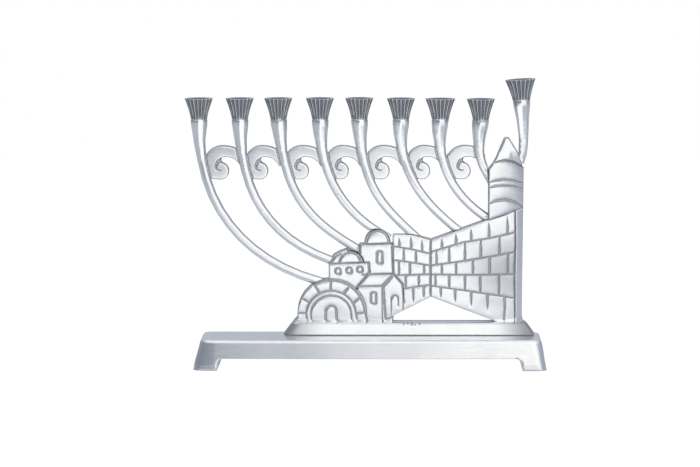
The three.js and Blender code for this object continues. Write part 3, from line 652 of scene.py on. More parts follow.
# Low house and its gabled annexe
cut([(20.4, 27), (30, 27.2), (38.6, 27.4)], 1.8)
cut(ring(31.2, 18.2, 2, 4.2, 1.3), 1.8)
cut([(46.3, 36.4), (38.4, 27.2), (39.2, 15), (40.3, 2.6)], 2.1, 2.2, 1.9)
cut([(46.3, 36.4), (53, 28.8), (53.6, 21), (54.5, 15)], 2.1, 1.9, 0.7)
cut([(44.5, 5), (44.6, 17.4)] + arc(47.2, 17.6, 2.6, 2.8, 180, 0, 6) + [(49.9, 12.7)], 0.7, 1.6, 1.6, 0.8)
cut([(40.6, 2.3), (46.6, 4.4)], 1.9, 1.2)

# Block walls: courses run out from the corner, and the joints between them are cut as long wedges
cut([(74, 61), (74, 48), (74, 36), (74, 26), (74, 20.4)], 1.5, 1.9, 1.9, 1.4)
left_courses = (((47, 64.6), (59.1, 66.4), (73, 62.2)), ((47.2, 57.2), (59.1, 55.3), (73, 51.9)),
                ((47.1, 46.8), (62.9, 44.6), (73, 42.9)), ((47.6, 35.5), (59.1, 35.6), (73.2, 36.2)),
                ((53.8, 25.2), (64.9, 27), (73, 27.9)), ((47, 5), (62, 13.4), (73, 19.4)))
left_joints = ((50.5, 59.3, 67.5), (53.8, 62.9), (50.2, 58.4, 69), (55.2, 65.1), (61, 68.7))
right_courses = (((74, 62.4), (93, 68.6), (117.4, 77.3), (138.5, 84.6)),
                 ((74.9, 53.3), (97.7, 60.3), (118.2, 63.4), (137.6, 67.6)),
                 ((75.2, 43), (99.4, 46.3), (123.8, 50.3), (137.2, 52.7)),
                 ((75.2, 36), (107.3, 35.6), (137, 35.9)),
                 ((75.2, 27.3), (99.4, 23.9), (124.7, 19.9), (137, 17.8)),
                 ((74, 19.4), (100, 12.2), (125.6, 4.9), (137.6, 1)))
right_joints = ((82.4, 93, 104.4, 117.8, 131.6), (78.4, 87.9, 99.7, 111.6, 125.7),
                (82.4, 93.1, 105.7, 118.3, 132.1), (77.6, 87.9, 99.8, 111.3, 125.4),
                (81.6, 92.4, 104.5, 116.8, 129.8))
joint_ends = ((0.3, 1.9), (1, 1.8), (1.6, 1.5), (1.8, 1.2), (1.9, 0.3))
joint_inset_share = 0.12
last_short_joint = 120
for courses, joints in ((left_courses, left_joints), (right_courses, right_joints)):
    for course in courses[1:-1]:
        cut(course, 1.4, 1.6)
    for row, (row_joints, (upper_width, lower_width)) in enumerate(zip(joints, joint_ends)):
        for index, x in enumerate(row_joints):
            upper, lower = (np.interp(x, *zip(*courses[row + step])) for step in (0, 1))
            inset = joint_inset_share * (upper - lower)
            top_end = upper - (inset if row == 0 else 0)
            foot_end = lower + (inset if row == 4 and x < last_short_joint else 0)
            cut([(x, top_end), (x + 0.2, (top_end + foot_end) / 2), (x + 0.1, foot_end)],
                upper_width, (1.7, 1.9)[index % 2], lower_width)
cut([(129.9, 9), (129.3, 1.6)], 1.7, 1.4)

# Tower: arched bands, the line along the wall's top and the long edge beside the smooth strip
roof_line = [(121.6, 120.4), (124.6, 121.5), (129.6, 122), (135, 121.2), (141, 118.2), (143.8, 116.4)]
cut(roof_line, 0.9, 2.3, 2.7, 2.3, 1)
cut([(117.2, 105.7), (122, 107.1), (128.3, 107.7), (136, 106.9), (143.6, 104.4)], 1, 2, 2.4, 2.2, 1.4)
cut([(117.2, 101.7), (122, 102.8), (128.3, 103.3), (136, 102.6), (143.6, 100.3)], 1, 2, 2.2, 2, 1.4)
cut([(117.2, 89.6), (123, 91.9), (130.5, 92.6), (137, 90.6), (143.5, 86.8)], 0.7, 2.4, 3, 2.6, 1)
cut([(116.6, 77.5), (129, 81.2), (143.6, 86.2)], 1.7, 1.7, 1.2)
cut([(137.4, 83.4), (137.9, 60), (137.2, 36), (137.7, 3.4)], 1.4, 1.8, 1.6, 1.3)


def stroke_gap(places, strokes):
    """Distance from each point to the nearest groove's edge, seen from the front; inside is negative."""
    gap = np.full(len(places), far_away)
    for spots, halves in strokes:
        low, high = np.min(spots, axis=0) - stroke_reach, np.max(spots, axis=0) + stroke_reach
        flat = places[:, [0, 2]]
        near = np.flatnonzero(((flat > low) & (flat < high)).all(axis=1))
        if not len(near):
            continue
        flat = flat[near]
        for first, last, half, next_half in zip(spots, spots[1:], halves, halves[1:]):
            run = np.subtract(last, first)
            share = np.clip((flat - first) @ run / max(run @ run, 1e-12), 0, 1)
            away = np.linalg.norm(flat - first - share[:, None] * run, axis=1)
            gap[near] = np.minimum(gap[near], away - half - share * (next_half - half))
    return gap


def casting_blank(node_name, front=None):
    """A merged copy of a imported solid. Where a front is given, its face is cut back and drawn out flat."""
    start()
    piece = bpy.data.objects.new(node_name + "_blank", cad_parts[node_name].data.copy())
    bpy.context.scene.collection.objects.link(piece)
    pick(piece)
    bpy.ops.object.mode_set(mode="EDIT")
    bpy.ops.mesh.select_all(action="SELECT")
    bpy.ops.mesh.remove_doubles(threshold=weld_reach)
    if front is not None:
        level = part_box(node_name)[0].y + relief_cut
        bpy.ops.mesh.bisect(plane_co=(0, level, 0), plane_no=(0, -1, 0), use_fill=True, clear_outer=True)
        choose(piece, "polygons",
               lambda face: face.normal.y < -0.9 and abs(face.center.y - level) < 10 * weld_reach)
        bpy.ops.mesh.extrude_region_move(TRANSFORM_OT_translate={"value": (0, front - level, 0)})
    start()
    return piece


def plate_blank(outline, back):
    """A flat plate, from an outline that is given at the plate's front."""
    start()
    bpy.ops.mesh.primitive_circle_add(vertices=len(outline), fill_type="NGON")
    piece = bpy.context.object
    write_vertices(piece, np.array(outline))
    choose(piece, "polygons", lambda face: True)
    bpy.ops.mesh.extrude_region_move(TRANSFORM_OT_translate={"value": (0, back - outline[0][1], 0)})
    start()
    return piece


def side_gap(places, front, flank, normals, shade=0):
    """Distance from each front point to the nearest flank, seen from the front. A flank that faces up or
    right counts as lying further in by the shade, which gives it a broader line of painted shade."""
    tree = KDTree(int(flank.sum()))
    inward = normals * (shade * np.clip(normals[:, 0] + normals[:, 2], 0, 1))[:, None]
    for index in np.flatnonzero(flank):
        spot = places[index] - inward[index]
        tree.insert((spot[0], 0, spot[2]), int(index))
    tree.balance()
    gap = np.full(len(places), far_away)
    for index in np.flatnonzero(front):
        gap[index] = tree.find((places[index, 0], 0, places[index, 2]))[2]
    return gap


def work_face(piece, face_of, back, joined=None):
    """Cuts the drawing into a piece's front, rolls its edges over and drafts its flanks. A flank that
    runs on into its neighbour gets no rolled edge."""
    places = read_vertices(piece)
    normals = read_vertices(piece, "normal")
    face = face_of(places)
    depth = places[:, 1] - face
    flank = depth > flank_start
    front = (depth < face_catch) & (normals[:, 1] < 0.3)
    plain = (normals[:, 2] < -0.5) & (places[:, 2] < plinth_high.z + foot_sink)
    if joined:
        plain |= joined(places, normals)
    gap = side_gap(places, front, flank & (np.abs(normals[:, 1]) < 0.5) & ~plain, normals)
    groove = stroke_gap(places, strokes) + groove_slim + uneven(places, groove_waver_size) * groove_waver
    sink = groove_depth * (1 - smooth_step(groove, -groove_wall, groove_wall))
    sink = np.maximum(sink, edge_fall * (1 - smooth_step(gap, 0, edge_reach)))
    sink += pillow_depth * np.exp(-np.clip(np.minimum(groove, gap), 0, None) / pillow_reach)
    sink += uneven(places, face_swell_size) * face_swell
    foot = plinth_high.z + foot_reach - places[:, 2]
    rise = foot_fillet * np.clip(foot / foot_reach, 0, 1) ** 2
    places[:, 1] += np.where(front, sink - rise, 0)
    out = normals * (flank_draft * smooth_step(depth, draft_start, back - face.min()))[:, None]
    out[:, 1] = 0
    out[:, 2] -= foot_sink * (1 - smooth_step(places[:, 2] - plinth_high.z, 0, foot_sink))
    out[~(flank & (normals[:, 2] > -0.9)), 0] = 0
    places += out
    write_vertices(piece, places)
    # Painted shade: the front's strip next to a flank is marked as sand skin, a thin dark line along edges
    # and seams
    inside = np.minimum(groove, np.where(gap < edge_shade, -mm, gap)) / mm
    mark_polish(piece, np.where(front | plain, np.clip(inside, -mark_limit, mark_limit), sand_mark))


def flare_foot(piece, side, flare):
    """Spreads the side of a piece outwards where it runs into the plinth's top."""
    places = read_vertices(piece)
    near_side = smooth_step(-np.abs(places[:, 0] - side), -flare_reach, 0)
    near_foot = np.clip((plinth_high.z + flare_reach - places[:, 2]) / flare_reach, 0, 1) ** 2
    places[:, 0] += flare * near_side * near_foot
    write_vertices(piece, places)


# Buildings and walls, each with the depth of its face. The small house carries a sloping parapet, drawn
# like the grooves. The right wall's face falls back towards the tower, with a patch of painted shade there.
relief_fronts = {"gate_arch": 6 * mm, "gable_house": 6.6 * mm, "low_house": 6.7 * mm,
                 "small_domed_house": 6.7 * mm, "small_dome": 6.8 * mm, "tall_house": 6.7 * mm,
                 "tall_dome": 6.8 * mm, "left_wall": 7 * mm, "right_wall": 7 * mm}
plate_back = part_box("right_wall")[1].y
house_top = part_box("tall_house")[1].z
arm_foot_end = town_start + 58 * mm
dome_middle = (town_start + 34.15 * mm, plinth_high.z + 60 * mm)
dome_half = (9.4 * mm, 9.7 * mm)
small_dome_trim = 0.07
parapet = ((-1.8, 43.5), (-1.8, 44.8), (1.5, 50.6), (6.6, 53.3), (11.5, 54.9), (11.5, 43.5))
wall_bow = 1.9 * mm
wall_bow_start = 72 * mm
wall_bow_run = 40 * mm
wall_bow_catch = 1 * mm
# Painted shade: a round grey patch in the right wall's bright colour, darkest near the tower
wall_painted_shade = (0.6, 0.62, 0.65, 1)
wall_shade_middle = (102 * mm, 7 * mm, 72 * mm)
wall_shade_reach = 38 * mm
wall_shade_core = 4 * mm
wall_aluminium = metal("wall_aluminium")
tree = wall_aluminium.node_tree
spot = node(tree, "ShaderNodeTexCoord").outputs["Object"]
away = node(tree, "ShaderNodeVectorMath", {0: spot, 1: wall_shade_middle}, operation="DISTANCE")
shaded_patch = ease(tree, away.outputs["Value"], wall_shade_reach, wall_shade_core)
tree.links.new(blend(tree, shaded_patch, bright, wall_painted_shade), tree.nodes["Group"].inputs["Bright Colour"])


def wall_fall(places):
    """How far the right wall's face lies behind its left end."""
    return wall_bow * np.clip((places[:, 0] - wall_bow_start) / wall_bow_run, 0, 1) ** 2


def left_wall_joins(places, normals):
    """The left wall's flanks that run on into the tall house and under the arms' feet."""
    return (((normals[:, 0] < -0.5) & (places[:, 2] > house_top))
            | ((normals[:, 2] > 0.5) & (places[:, 0] < arm_foot_end)))


for node_name, front_y in relief_fronts.items():
    bowed = node_name == "right_wall"
    piece = casting_blank(node_name, front_y)
    if node_name == "small_domed_house":
        outline = [(town_start + x * mm, front_y, plinth_high.z + z * mm) for x, z in parapet]
        parapet_block = plate_blank(outline, plate_back)
        pick(piece)
        parapet_block.select_set(True)
        bpy.ops.object.join()
    even_skin(piece, relief_voxel, relief_smoothing, relief_fill)
    if node_name == "gate_arch":
        flare_foot(piece, gate_low.x, -gate_flare)
    if node_name == "small_dome":
        dome_low, dome_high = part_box(node_name)
        places = read_vertices(piece)
        places[:, 0] += ((dome_low.x + dome_high.x) / 2 - places[:, 0]) * small_dome_trim
        places[:, 2] -= (places[:, 2] - dome_low.z) * small_dome_trim
        write_vertices(piece, places)
    if node_name == "tall_dome":
        places = read_vertices(piece)
        away = (places[:, [0, 2]] - dome_middle) / dome_half
        outside = np.maximum(np.linalg.norm(away, axis=1), 1)
        places[:, [0, 2]] = dome_middle + away * dome_half / outside[:, None]
        write_vertices(piece, places)
    if bowed:
        places = read_vertices(piece)
        places[:, 1] += wall_fall(places) * (places[:, 1] < front_y + wall_bow_catch)
        write_vertices(piece, places)
    work_face(piece, lambda places: front_y - relief_fill + bowed * wall_fall(places), plate_back,
              left_wall_joins if node_name == "left_wall" else None)
    put_on(piece, node_name + "_casting", [node_name],
           wall_aluminium if bowed else buffed_aluminium)


# Tower: a shaft that is rounded towards the right, with a pointed roof, cast with the plate. The roof
# stands in the shaft's top without a joint, and the shaft's left shoulder slopes up to it.
tower_low, tower_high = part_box("tower_shaft")
tower_bulge = 3.6 * mm
tower_tilt = 0.15
tower_roundness = 6.2 * mm
tower_foot_trim = 0.8 * mm
tower_face_catch = 1.2 * mm
tower_top_catch = 0.6 * mm
tower_smoothing = 3
shoulder_width = 2.7 * mm
shoulder_slope = 1.15
roof_tilt = 0.02
roof_inset = 3.2 * mm
roof_tuck = 0.4 * mm
roof_roundness = 1.8 * mm
roof_blend = 9 * mm

# Roof, seen from the front, in millimetres: left side, round tip, right side
roof_outline = ([(94.6, 148.6), (95.6, 152.2), (97.9, 156.5), (100.3, 162.7), (102.6, 167.8)]
                + arc(105.4, 168.6, 2.4, 2.3, 160, 25, 8)
                + [(110.2, 165.3), (114, 159), (117, 151.6), (117.2, 148.6)])


def tower_face(places):
    from_left = places[:, 0] - tower_low.x
    across = np.clip(from_left / (tower_high.x - tower_low.x), 0, 1)
    return tower_low.y - relief_fill + tower_tilt * from_left + tower_roundness * across ** 2


def roof_foot(places):
    """The height of the line between shaft and roof, along the groove that covers it."""
    line_x, line_z = zip(*roof_line)
    return plinth_high.z + np.interp((places[:, 0] - town_start) / mm, line_x, line_z) * mm


def roof_face(places):
    from_left = places[:, 0] - tower_low.x
    across = np.clip(from_left / (tower_high.x - tower_low.x), 0, 1)
    own = tower_low.y + roof_inset + roof_tilt * from_left + roof_roundness * across ** 4
    foot = roof_foot(places)
    freed = smooth_step(places[:, 2], foot, foot + roof_blend)
    tucked = roof_tuck * (1 - smooth_step(places[:, 2], foot - roof_tuck, foot + roof_tuck))
    return tower_face(places) + (own - tower_face(places)) * freed + tucked


piece = casting_blank("tower_shaft")
even_skin(piece, relief_voxel, 0, relief_fill)
places = read_vertices(piece)
face = tower_face(places)
from_middle = (places[:, 0] - (tower_low.x + tower_high.x) / 2) / (tower_high.x - tower_low.x) * 2
packed_face = tower_low.y + tower_bulge * from_middle ** 2
on_face = places[:, 1] - packed_face < tower_face_catch
on_face &= np.abs(places[:, 2] - tower_high.z) > tower_top_catch
places[:, 1] = np.where(on_face, face, np.maximum(places[:, 1], face))
shoulder = tower_high.z - np.clip(tower_low.x + shoulder_width - places[:, 0], 0, None) * shoulder_slope
near_top = places[:, 2] > tower_high.z - 2 * shoulder_width
places[:, 2] = np.where(near_top, np.minimum(places[:, 2], shoulder), places[:, 2])
raised = smooth_step(places[:, 2], tower_high.z - shoulder_width, tower_high.z)
raised *= places[:, 0] > tower_low.x + shoulder_width
places[:, 2] += (roof_foot(places) - tower_high.z) * raised
below = 1 - smooth_step(places[:, 2], plinth_high.z, tower_high.z)
near_right = smooth_step(places[:, 0], tower_high.x - flare_reach, tower_high.x)
places[:, 0] -= tower_foot_trim * below * near_right
write_vertices(piece, places)
flare_foot(piece, tower_high.x, tower_flare)
use_modifier(piece, "SMOOTH", factor=0.5, iterations=tower_smoothing)
work_face(piece, tower_face, plate_back,
          lambda places, normals: (normals[:, 2] > 0.5) & (places[:, 0] > tower_low.x + shoulder_width))
put_on(piece, "tower_shaft_casting", ["tower_shaft"])

piece = plate_blank([(x * mm, tower_low.y, z * mm) for x, z in roof_outline], plate_back)
even_skin(piece, relief_voxel, relief_smoothing)
places = read_vertices(piece)
face = roof_face(places)
places[:, 1] = np.where(places[:, 1] < tower_low.y + relief_cut / 2, face, np.maximum(places[:, 1], face))
write_vertices(piece, places)
use_modifier(piece, "SMOOTH", factor=0.5, iterations=tower_smoothing)
work_face(piece, roof_face, plate_back, lambda places, normals: normals[:, 2] < -0.5)
put_on(piece, "tower_roof_casting", ["tower_roof"])


# Arms: eight swept bars with rounded, buffed fronts, and the shamash arm on the tower. The flanks that
# the wheel can't reach, on the right of the eight and the left of the ninth, keep a dark line.
arm_voxel = 0.4 * mm
arm_smoothing = 16
arm_last_smoothing = 20
arm_edge_share = 0.9
arm_back_share = 0.45
arm_back_sharpness = 4
arm_up_share = 0.4
arm_flat_turn = (0.1, 0.45)
arm_swell = 0.55 * mm
arm_swell_size = 25 * mm
arm_flatness = 0.58
arm_flank = 0.79
arm_ridge = 0.1
arm_left_fall = 0.5 * mm
arm_right_fall = 0.05 * mm
arm_fall_fade = (0.2, 0.8)
shamash_ridge = -0.6
shamash_left_fall = -0.15 * mm
shamash_right_fall = 0.65 * mm
neck_fall = 0.3
neck_growth = 0.15
neck_reach = 16 * mm
neck_rise = 1.7 * mm
neck_roundness = 0.6
neck_round_reach = 1.4 * neck_reach
neck_shifts = {"branch_7": -1 * mm, "branch_8": -0.9 * mm, "shamash_branch": -0.6 * mm}
shamash_foot_growth = 0.6
shamash_foot_shift = -0.8 * mm
shamash_foot_low = 148 * mm
shamash_foot_full = 157 * mm
shamash_foot_fade = 155 * mm
shamash_foot_high = 188 * mm
shamash_middle = 11.8 * mm
shamash_middle_height = 160 * mm
shamash_lean_share = 0.05
arm_plan = [(f"branch_{number}", f"arm_{number}", f"cup_{number}", 1) for number in range(1, 9)]
arm_plan.append(("shamash_branch", "shamash_arm", "shamash_cup", -1))
arm_plans = {}
for node_name, name, cup_name, rough_side in arm_plan:
    piece = casting_blank(node_name)
    even_skin(piece, arm_voxel, arm_smoothing)
    places = read_vertices(piece)
    normals = read_vertices(piece, "normal")
    arm_low, arm_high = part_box(node_name)
    cup_middle = sum(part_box(cup_name), Vector()) / 2
    side = np.hypot(normals[:, 0], normals[:, 2]) * np.sign(normals[:, 0] + arm_up_share * normals[:, 2])
    front = normals[:, 1] < -0.2
    ridge, left_fall, right_fall = arm_ridge, arm_left_fall, arm_right_fall
    if node_name == "shamash_branch":
        ridge, left_fall, right_fall = shamash_ridge, shamash_left_fall, shamash_right_fall
    top = arm_high.z
    shaft = (places[:, 2] < top - 2 * neck_rise) & (places[:, 2] > arm_low.z + neck_rise)
    from_left, from_right = (side_gap(places, front, (side * way > 0.8) & shaft, normals)
                             for way in (-1, 1))
    across = np.where(front, (from_left - from_right) / (from_left + from_right), np.sign(side))

    # The front is buffed flatter than the round bar, less so at the neck
    flatter = (1 - (arm_flank * across) ** 2) ** (-arm_flatness / 2) - 1
    flatter *= smooth_step(-normals[:, 1], *arm_flat_turn)
    flatter *= 1 - neck_roundness * smooth_step(places[:, 2], top - neck_round_reach, top - 2 * neck_rise)
    places[:, 1] -= (cup_middle.y - places[:, 1]) * flatter

    # From a ridge line it falls away to both sides, in slow hand-made swells
    across -= ridge
    fall = np.where(across < 0, left_fall / (1 + ridge) ** 2, right_fall / (1 - ridge) ** 2) * across ** 2
    fall *= 1 - (1 - neck_fall) * smooth_step(places[:, 2], top - neck_reach / 2, top)
    forward = (arm_high.y - places[:, 1]) / (arm_high.y - arm_low.y)
    places[:, 1] += fall * np.where(front, 1, smooth_step(forward, *arm_fall_fade))
    places[:, 1] += uneven(places, arm_swell_size) * arm_swell * (normals[:, 1] < 0)
    if node_name == "shamash_branch":
        stout = 1 - smooth_step(places[:, 2], shamash_foot_fade, shamash_foot_high)
        stout *= smooth_step(places[:, 2], shamash_foot_low, shamash_foot_full)
        leaned = (places[:, 2] - shamash_middle_height) * shamash_lean_share
        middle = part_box("shamash_cup")[0].x + shamash_middle + leaned
        places[:, 0] += (places[:, 0] - middle) * shamash_foot_growth * stout + shamash_foot_shift * stout
    neck = smooth_step(places[:, 2], top - neck_reach, top)
    swollen = 1 + neck_growth * neck
    places[:, 0] = cup_middle.x + (places[:, 0] - cup_middle.x) * swollen
    places[:, 1] = cup_middle.y + (places[:, 1] - cup_middle.y) * swollen
    shift = neck_shifts.get(node_name, 0)
    places[:, 0] += shift * smooth_step(places[:, 2], top - 4 * neck_reach, top - neck_reach)
    places[:, 2] += neck_rise * smooth_step(places[:, 2], top - 2 * neck_rise, top)
    write_vertices(piece, places)
    use_modifier(piece, "SMOOTH", factor=0.5, iterations=arm_last_smoothing)
    arm_plans[node_name] = read_vertices(piece)[:, [0, 2]]
    flank_edge = (arm_edge_share - side * rough_side) * mark_sharpness
    back_edge = (arm_back_share - normals[:, 1]) * arm_back_sharpness
    mark_polish(piece, np.clip(np.minimum(flank_edge, back_edge), sand_mark, mark_limit))
    put_on(piece, name, [node_name])


# Scrolls: flat volutes cast between the arms. Beside each arm the plate thins to a sand-rough web, and
# the volute's groove tapers into the curl. Both are drawn in millimetres from the left cup's middle.
scroll_voxel = 0.3 * mm
scroll_smoothing = 3
scroll_pitch = 30.64 * mm
scroll_rise = 0.7 * mm
scroll_web = 0.2
scroll_left_web = 0.9 * mm
scroll_right_web = 0.6 * mm
scroll_shade = 0.4 * mm
web_wall = 0.2 * mm
web_waver = 0.15 * mm
web_waver_size = 2 * mm
scroll_face_catch = 0.45 * mm
scroll_flank_start = 0.7 * mm
scroll_edge_fall = 0.35 * mm
scroll_edge_reach = 0.9 * mm
scroll_edge_shade = 0.25 * mm
scroll_pillow_depth = 0.12 * mm
scroll_pillow_reach = 1.6 * mm
volute_depth = 0.9 * mm
scroll_outline = ([(4.6, -6.6)] + arc(17.5, -13.2, 14, 13.2, 152, 90, 12)
                  + arc(17.5, -13.2, 19, 13.2, 88, 45, 10)
                  + [(33, -7), (34, -14.6)] + arc(20.5, -19.7, 11, 11, 21, 88, 11)
                  + arc(18.6, -10.9, 2.2, 2.2, 95, 232, 8) + arc(15.9, -19.2, 6.4, 6.4, 70, -95, 22)
                  + [(12.2, -25.4), (8, -25.2), (4, -18), (3.2, -11)])
volute = [(17, -11.2), (14.4, -11.7), (12.7, -14), (12.3, -16.2), (13, -17.9), (14.5, -18.6), (16.1, -18.5)]
volute_widths = (3.9, 2.6, 1.8, 1.7, 1.2, 0.9, 0.5)


def arm_gap(places, node_name):
    """Distance from each point to an arm, seen from the front."""
    spots = arm_plans[node_name]
    tree = KDTree(len(spots))
    for index, (x, z) in enumerate(spots):
        tree.insert((x, 0, z), index)
    tree.balance()
    return np.array([tree.find((x, 0, z))[2] for x, y, z in places])


for number in range(1, 8):
    low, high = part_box(f"scroll_{number}")
    left_cup, right_cup = (sum(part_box(f"cup_{place}"), Vector()) / 2 for place in (number, number + 1))
    stretch = (right_cup.x - left_cup.x) / scroll_pitch
    top = high.z + scroll_rise
    outline = [(left_cup.x + x * stretch * mm, low.y, top + z * mm) for x, z in scroll_outline]
    piece = plate_blank(outline, high.y)
    even_skin(piece, scroll_voxel, scroll_smoothing)
    places = read_vertices(piece)
    normals = read_vertices(piece, "normal")
    left_web, right_web = (arm_gap(places, f"branch_{place}") - width
                           for place, width in ((number, scroll_left_web), (number + 1, scroll_right_web)))
    web = np.minimum(left_web, right_web) + uneven(places, web_waver_size) * web_waver
    depth = places[:, 1] - low.y
    front = (depth < scroll_face_catch) & (normals[:, 1] < -0.25)
    flank = (depth > scroll_flank_start) & (normals[:, 1] < 0.5)
    gap = side_gap(places, front, flank, normals, scroll_shade)
    curl = stroke(left_cup.x, top, [(x * stretch, z) for x, z in volute], volute_widths)
    groove = stroke_gap(places, [curl])
    sink = scroll_edge_fall * (1 - smooth_step(gap, 0, scroll_edge_reach))
    sink += scroll_pillow_depth * np.exp(-gap / scroll_pillow_reach)
    sink += volute_depth * (1 - smooth_step(groove, -groove_wall, groove_wall))
    places[:, 1] += np.where(front, sink, 0)
    middle = (low.y + high.y) / 2
    thinned = scroll_web * (1 - smooth_step(web, -web_wall, web_wall))
    places[:, 1] = middle + (places[:, 1] - middle) * (1 - thinned)
    write_vertices(piece, places)
    # Painted shade: a strip along the front's edge is marked as sand skin, broader beside flanks that face
    # up or right
    inside = np.minimum(np.minimum(groove, web), gap - scroll_edge_shade) / mm
    mark_polish(piece, np.where(front, np.clip(inside, -1, mark_limit), sand_mark))
    put_on(piece, f"scroll_{number}_casting", [f"scroll_{number}"])


# Cups: nine fluted trumpets, each with a plain bore for its candle. The hollows of the flutes keep
# their sand skin, and the wheel has only touched their crests and the rim.
cup_crest = (0.7, 0.72, 0.75, 1)
cup_skin = (0.43, 0.445, 0.47, 1)
cup_roughness = 0.36
cup_raggedness = 0.7
cup_aluminium = metal("cup_aluminium", cup_crest, cup_skin, cup_roughness, cup_raggedness)
cup_sides = 180
cup_levels = 22
cup_flutes = 18
cup_bore = 11 * mm
cup_bore_depth = 10 * mm
cup_foot = 11.8 * mm
cup_rim = 21.3 * mm
cup_height = 17 * mm
cup_flare = 1.4
flute_depth = 1.1 * mm
flute_run_share = 0.4
flute_fullness = 1.6
rim_mark = 0.4
crest_middle = 0.5
crest_sharpness = 1.3
crest_shift = 0.04
tongue_height = 0.12
tongue_waver = 0.05
tongue_crest_share = 0.04
tongue_sharpness = 14
cup_leans = {f"cup_{number}": 0 for number in range(1, 9)}
cup_leans["shamash_cup"] = math.radians(3.5)
cup_shifts = {"cup_7": -0.8 * mm, "cup_8": -0.9 * mm, "shamash_cup": -0.4 * mm}
cup_drops = {"cup_6": 0.3 * mm, "cup_7": 0.5 * mm, "cup_8": 0.8 * mm, "shamash_cup": 1.2 * mm}
cup_growths = {"cup_7": 1.06, "shamash_cup": 1.08}

start()
bpy.ops.mesh.primitive_cylinder_add(vertices=cup_sides, radius=1, depth=1, location=(0, 0, 0.5))
cup = bpy.context.object
bpy.ops.object.transform_apply(location=True)
bpy.ops.object.mode_set(mode="EDIT")
for level in range(1, cup_levels):
    bpy.ops.mesh.select_all(action="SELECT")
    bpy.ops.mesh.bisect(plane_co=(0, 0, level / cup_levels), plane_no=(0, 0, 1))
choose(cup, "polygons", lambda face: face.normal.z > 0.9)
bpy.ops.mesh.inset(thickness=1 - cup_bore / cup_rim)
bpy.ops.mesh.extrude_region_move(TRANSFORM_OT_translate={"value": (0, 0, -cup_bore_depth / cup_height)})
start()
places = read_vertices(cup)
angle = np.arctan2(places[:, 0], -places[:, 1])
up = places[:, 2]
wall = np.hypot(places[:, 0], places[:, 1]) > 0.99
swept = cup_foot + (cup_rim - cup_foot) * np.abs(up) ** cup_flare
crest = np.abs((angle / (2 * np.pi) * cup_flutes) % 1 - 0.5) * 2
dip = flute_depth * smooth_step(up, -0.02, flute_run_share) * (1 - crest ** flute_fullness)
radius = np.where(wall, swept / 2 - dip, cup_bore / 2)
write_vertices(cup, np.column_stack((np.sin(angle) * radius, -np.cos(angle) * radius, up * cup_height)))

# Marks: bright crests, and buffed tongues that run a little way up from the neck
tongue = tongue_height + tongue_waver * np.sin(angle * 5 + 1) + tongue_crest_share * crest
mark = (crest ** 2 - crest_middle) * crest_sharpness - crest_shift
mark = np.where(wall, mark + np.clip(tongue - up, 0, 1) * tongue_sharpness, sand_mark)
mark_polish(cup, np.where(up > 0.999, np.where(wall, rim_mark, -1), mark))
for polygon in cup.data.polygons:
    polygon.use_smooth = abs(polygon.normal.z) < 0.9
for node_name, lean in cup_leans.items():
    cup_low, cup_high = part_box(node_name)
    tilt = Matrix.Rotation(-lean, 4, "Y") @ Matrix.Diagonal((cup_growths.get(node_name, 1), 1, 1, 1))
    rim_middle = (cup_low + cup_high) / 2
    rim_middle.x += cup_shifts.get(node_name, 0)
    rim_middle.z = cup_high.z - cup_drops.get(node_name, 0) - cup_rim / 2 * math.sin(lean)
    copy = bpy.data.objects.new(node_name + "_fluted", cup.data.copy())
    bpy.context.scene.collection.objects.link(copy)
    pick(copy)
    copy.matrix_world = Matrix.Translation(rim_middle - tilt @ Vector((0, 0, cup_height))) @ tilt
    bpy.ops.object.transform_apply(location=True, rotation=True, scale=True)
    put_on(copy, node_name + "_fluted", [node_name], cup_aluminium)
bpy.data.objects.remove(cup)


# Studio: a white paper floor that keeps the lamp's shadow, in a white surround. What the metal sees
# of it is bright in front and overhead and greyer towards the sides of the room.
paper_size = 2600 * mm
paper_front = 1050 * mm
paper_colour = (0.92, 0.92, 0.92, 1)
paper_roughness = 0.95
paper_specular = 0.1
paper_glow = 1.1
paper_glow_share = 0.92
left_fade_share = 0.97
back_fade_share = 0.9
mirrored_white = (1.06, 1.06, 1.06, 1)
mirrored_grey = (0.36, 0.4, 0.46, 1)
right_fade_start, right_fade_end = 100 * mm, 300 * mm
front_fade_start, front_fade_end = -750 * mm, -500 * mm
left_fade_start, left_fade_end = -120 * mm, -300 * mm
back_fade_start, back_fade_end = -350 * mm, -100 * mm
room_light = (0.95, 0.95, 0.95, 1)
room_top = (0.85, 0.87, 0.9, 1)
room_tint = (-0.16, -0.04, 0.2)
low_band_end = (0.02, 0.12)
middle_band_end = (0.32, 0.5)
high_band_end = (0.7, 0.95)
white = (1, 1, 1, 1)
start()
bpy.ops.mesh.primitive_plane_add(size=paper_size, location=(0, paper_size / 2 - paper_front, 0))
paper = bpy.context.object
bpy.ops.object.transform_apply(location=True)
paper.name = "paper_floor"
paper_white = bpy.data.materials.new("paper_white")
paper_white.use_nodes = True
tree = paper_white.node_tree
shader = tree.nodes["Principled BSDF"]
shader.inputs["Base Color"].default_value = paper_colour
shader.inputs["Roughness"].default_value = paper_roughness
shader.inputs["Specular IOR Level"].default_value = paper_specular
light_path = node(tree, "ShaderNodeLightPath").outputs
spot = node(tree, "ShaderNodeSeparateXYZ", {0: node(tree, "ShaderNodeTexCoord").outputs["Object"]}).outputs
right_fade = calculate(tree, "MULTIPLY", ease(tree, spot[0], right_fade_start, right_fade_end),
                       ease(tree, spot[1], front_fade_start, front_fade_end))
left_fade = calculate(tree, "MULTIPLY", ease(tree, spot[0], left_fade_start, left_fade_end), left_fade_share)
back_fade = calculate(tree, "MULTIPLY", ease(tree, spot[1], back_fade_start, back_fade_end), back_fade_share)
fade = calculate(tree, "MAXIMUM", calculate(tree, "MAXIMUM", right_fade, left_fade), back_fade)
mirrored = blend(tree, fade, mirrored_white, mirrored_grey)
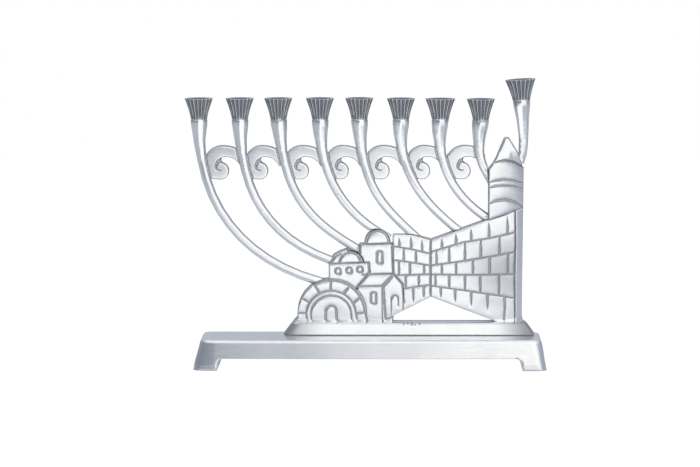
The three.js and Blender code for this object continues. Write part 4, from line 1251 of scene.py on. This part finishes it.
seen = blend(tree, light_path["Is Glossy Ray"], white, mirrored)
glow = node(tree, "ShaderNodeEmission", {"Color": seen, "Strength": paper_glow})
direct = calculate(tree, "MAXIMUM", light_path["Is Camera Ray"], light_path["Is Glossy Ray"])
share = calculate(tree, "MULTIPLY", direct, paper_glow_share)
both = node(tree, "ShaderNodeMixShader", {0: share})
tree.links.new(shader.outputs[0], both.inputs[1])
tree.links.new(glow.outputs[0], both.inputs[2])
tree.links.new(both.outputs[0], tree.nodes["Material Output"].inputs["Surface"])
paper.data.materials.append(paper_white)

room = bpy.data.worlds.new("studio_room")
room.use_nodes = True
bpy.context.scene.world = room
tree = room.node_tree
around = node(tree, "ShaderNodeTexCoord").outputs["Generated"]
heading = node(tree, "ShaderNodeSeparateXYZ", {0: around}).outputs
azimuth = calculate(tree, "ARCTAN2", heading[0], calculate(tree, "MULTIPLY", heading[1], -1.0))
azimuth = calculate(tree, "ADD", calculate(tree, "DIVIDE", azimuth, 2 * math.pi), 0.5)


def sweep(stops):
    """A ramp over the compass round the lamp: 0 degrees is the camera's side, 90 is the right."""
    ramp = node(tree, "ShaderNodeValToRGB", {0: azimuth})
    ramp.color_ramp.interpolation = "EASE"
    elements = ramp.color_ramp.elements
    while len(elements) > 1:
        elements.remove(elements[-1])
    for index, (degrees, level) in enumerate(stops):
        place = 0.5 + degrees / 360
        element = elements[0] if index == 0 else elements.new(place)
        element.position = place
        element.color = (*(level * (1 + share * (1 - level)) for share in room_tint), 1)
    return ramp.outputs[0]


low_band = sweep(((-180, 0.5), (-120, 0.26), (-60, 0.2), (-30, 0.2), (-10, 0.26), (-4, 0.42),
                  (-1, 0.62), (2, 0.98), (8, 1.04), (36, 1.04), (46, 0.76), (55, 0.46), (65, 0.32),
                  (120, 0.34), (180, 0.5)))
middle_band = sweep(((-180, 0.5), (-120, 0.3), (-60, 0.24), (-9, 0.26), (-4, 0.4), (-1.2, 0.66),
                     (0.3, 0.96), (1.2, 1.1), (30, 1.06), (44, 0.75), (60, 0.45), (120, 0.36),
                     (180, 0.5)))
high_band = sweep(((-180, 0.6), (-100, 0.42), (-65, 0.45), (-35, 0.7), (-10, 0.9), (-1, 1.04),
                   (40, 1.04), (70, 0.8), (110, 0.45), (180, 0.6)))
seen = blend(tree, ease(tree, heading[2], *low_band_end), low_band, middle_band)
seen = blend(tree, ease(tree, heading[2], *middle_band_end), seen, high_band)
seen = blend(tree, ease(tree, heading[2], *high_band_end), seen, room_top)
light_path = node(tree, "ShaderNodeLightPath").outputs
colour = blend(tree, light_path["Is Glossy Ray"], room_light, seen)
colour = blend(tree, light_path["Is Camera Ray"], colour, white)
background = tree.nodes["Background"]
tree.links.new(colour, background.inputs["Color"])
background.inputs["Strength"].default_value = 1
bpy.context.scene.view_settings.view_transform = "Standard"
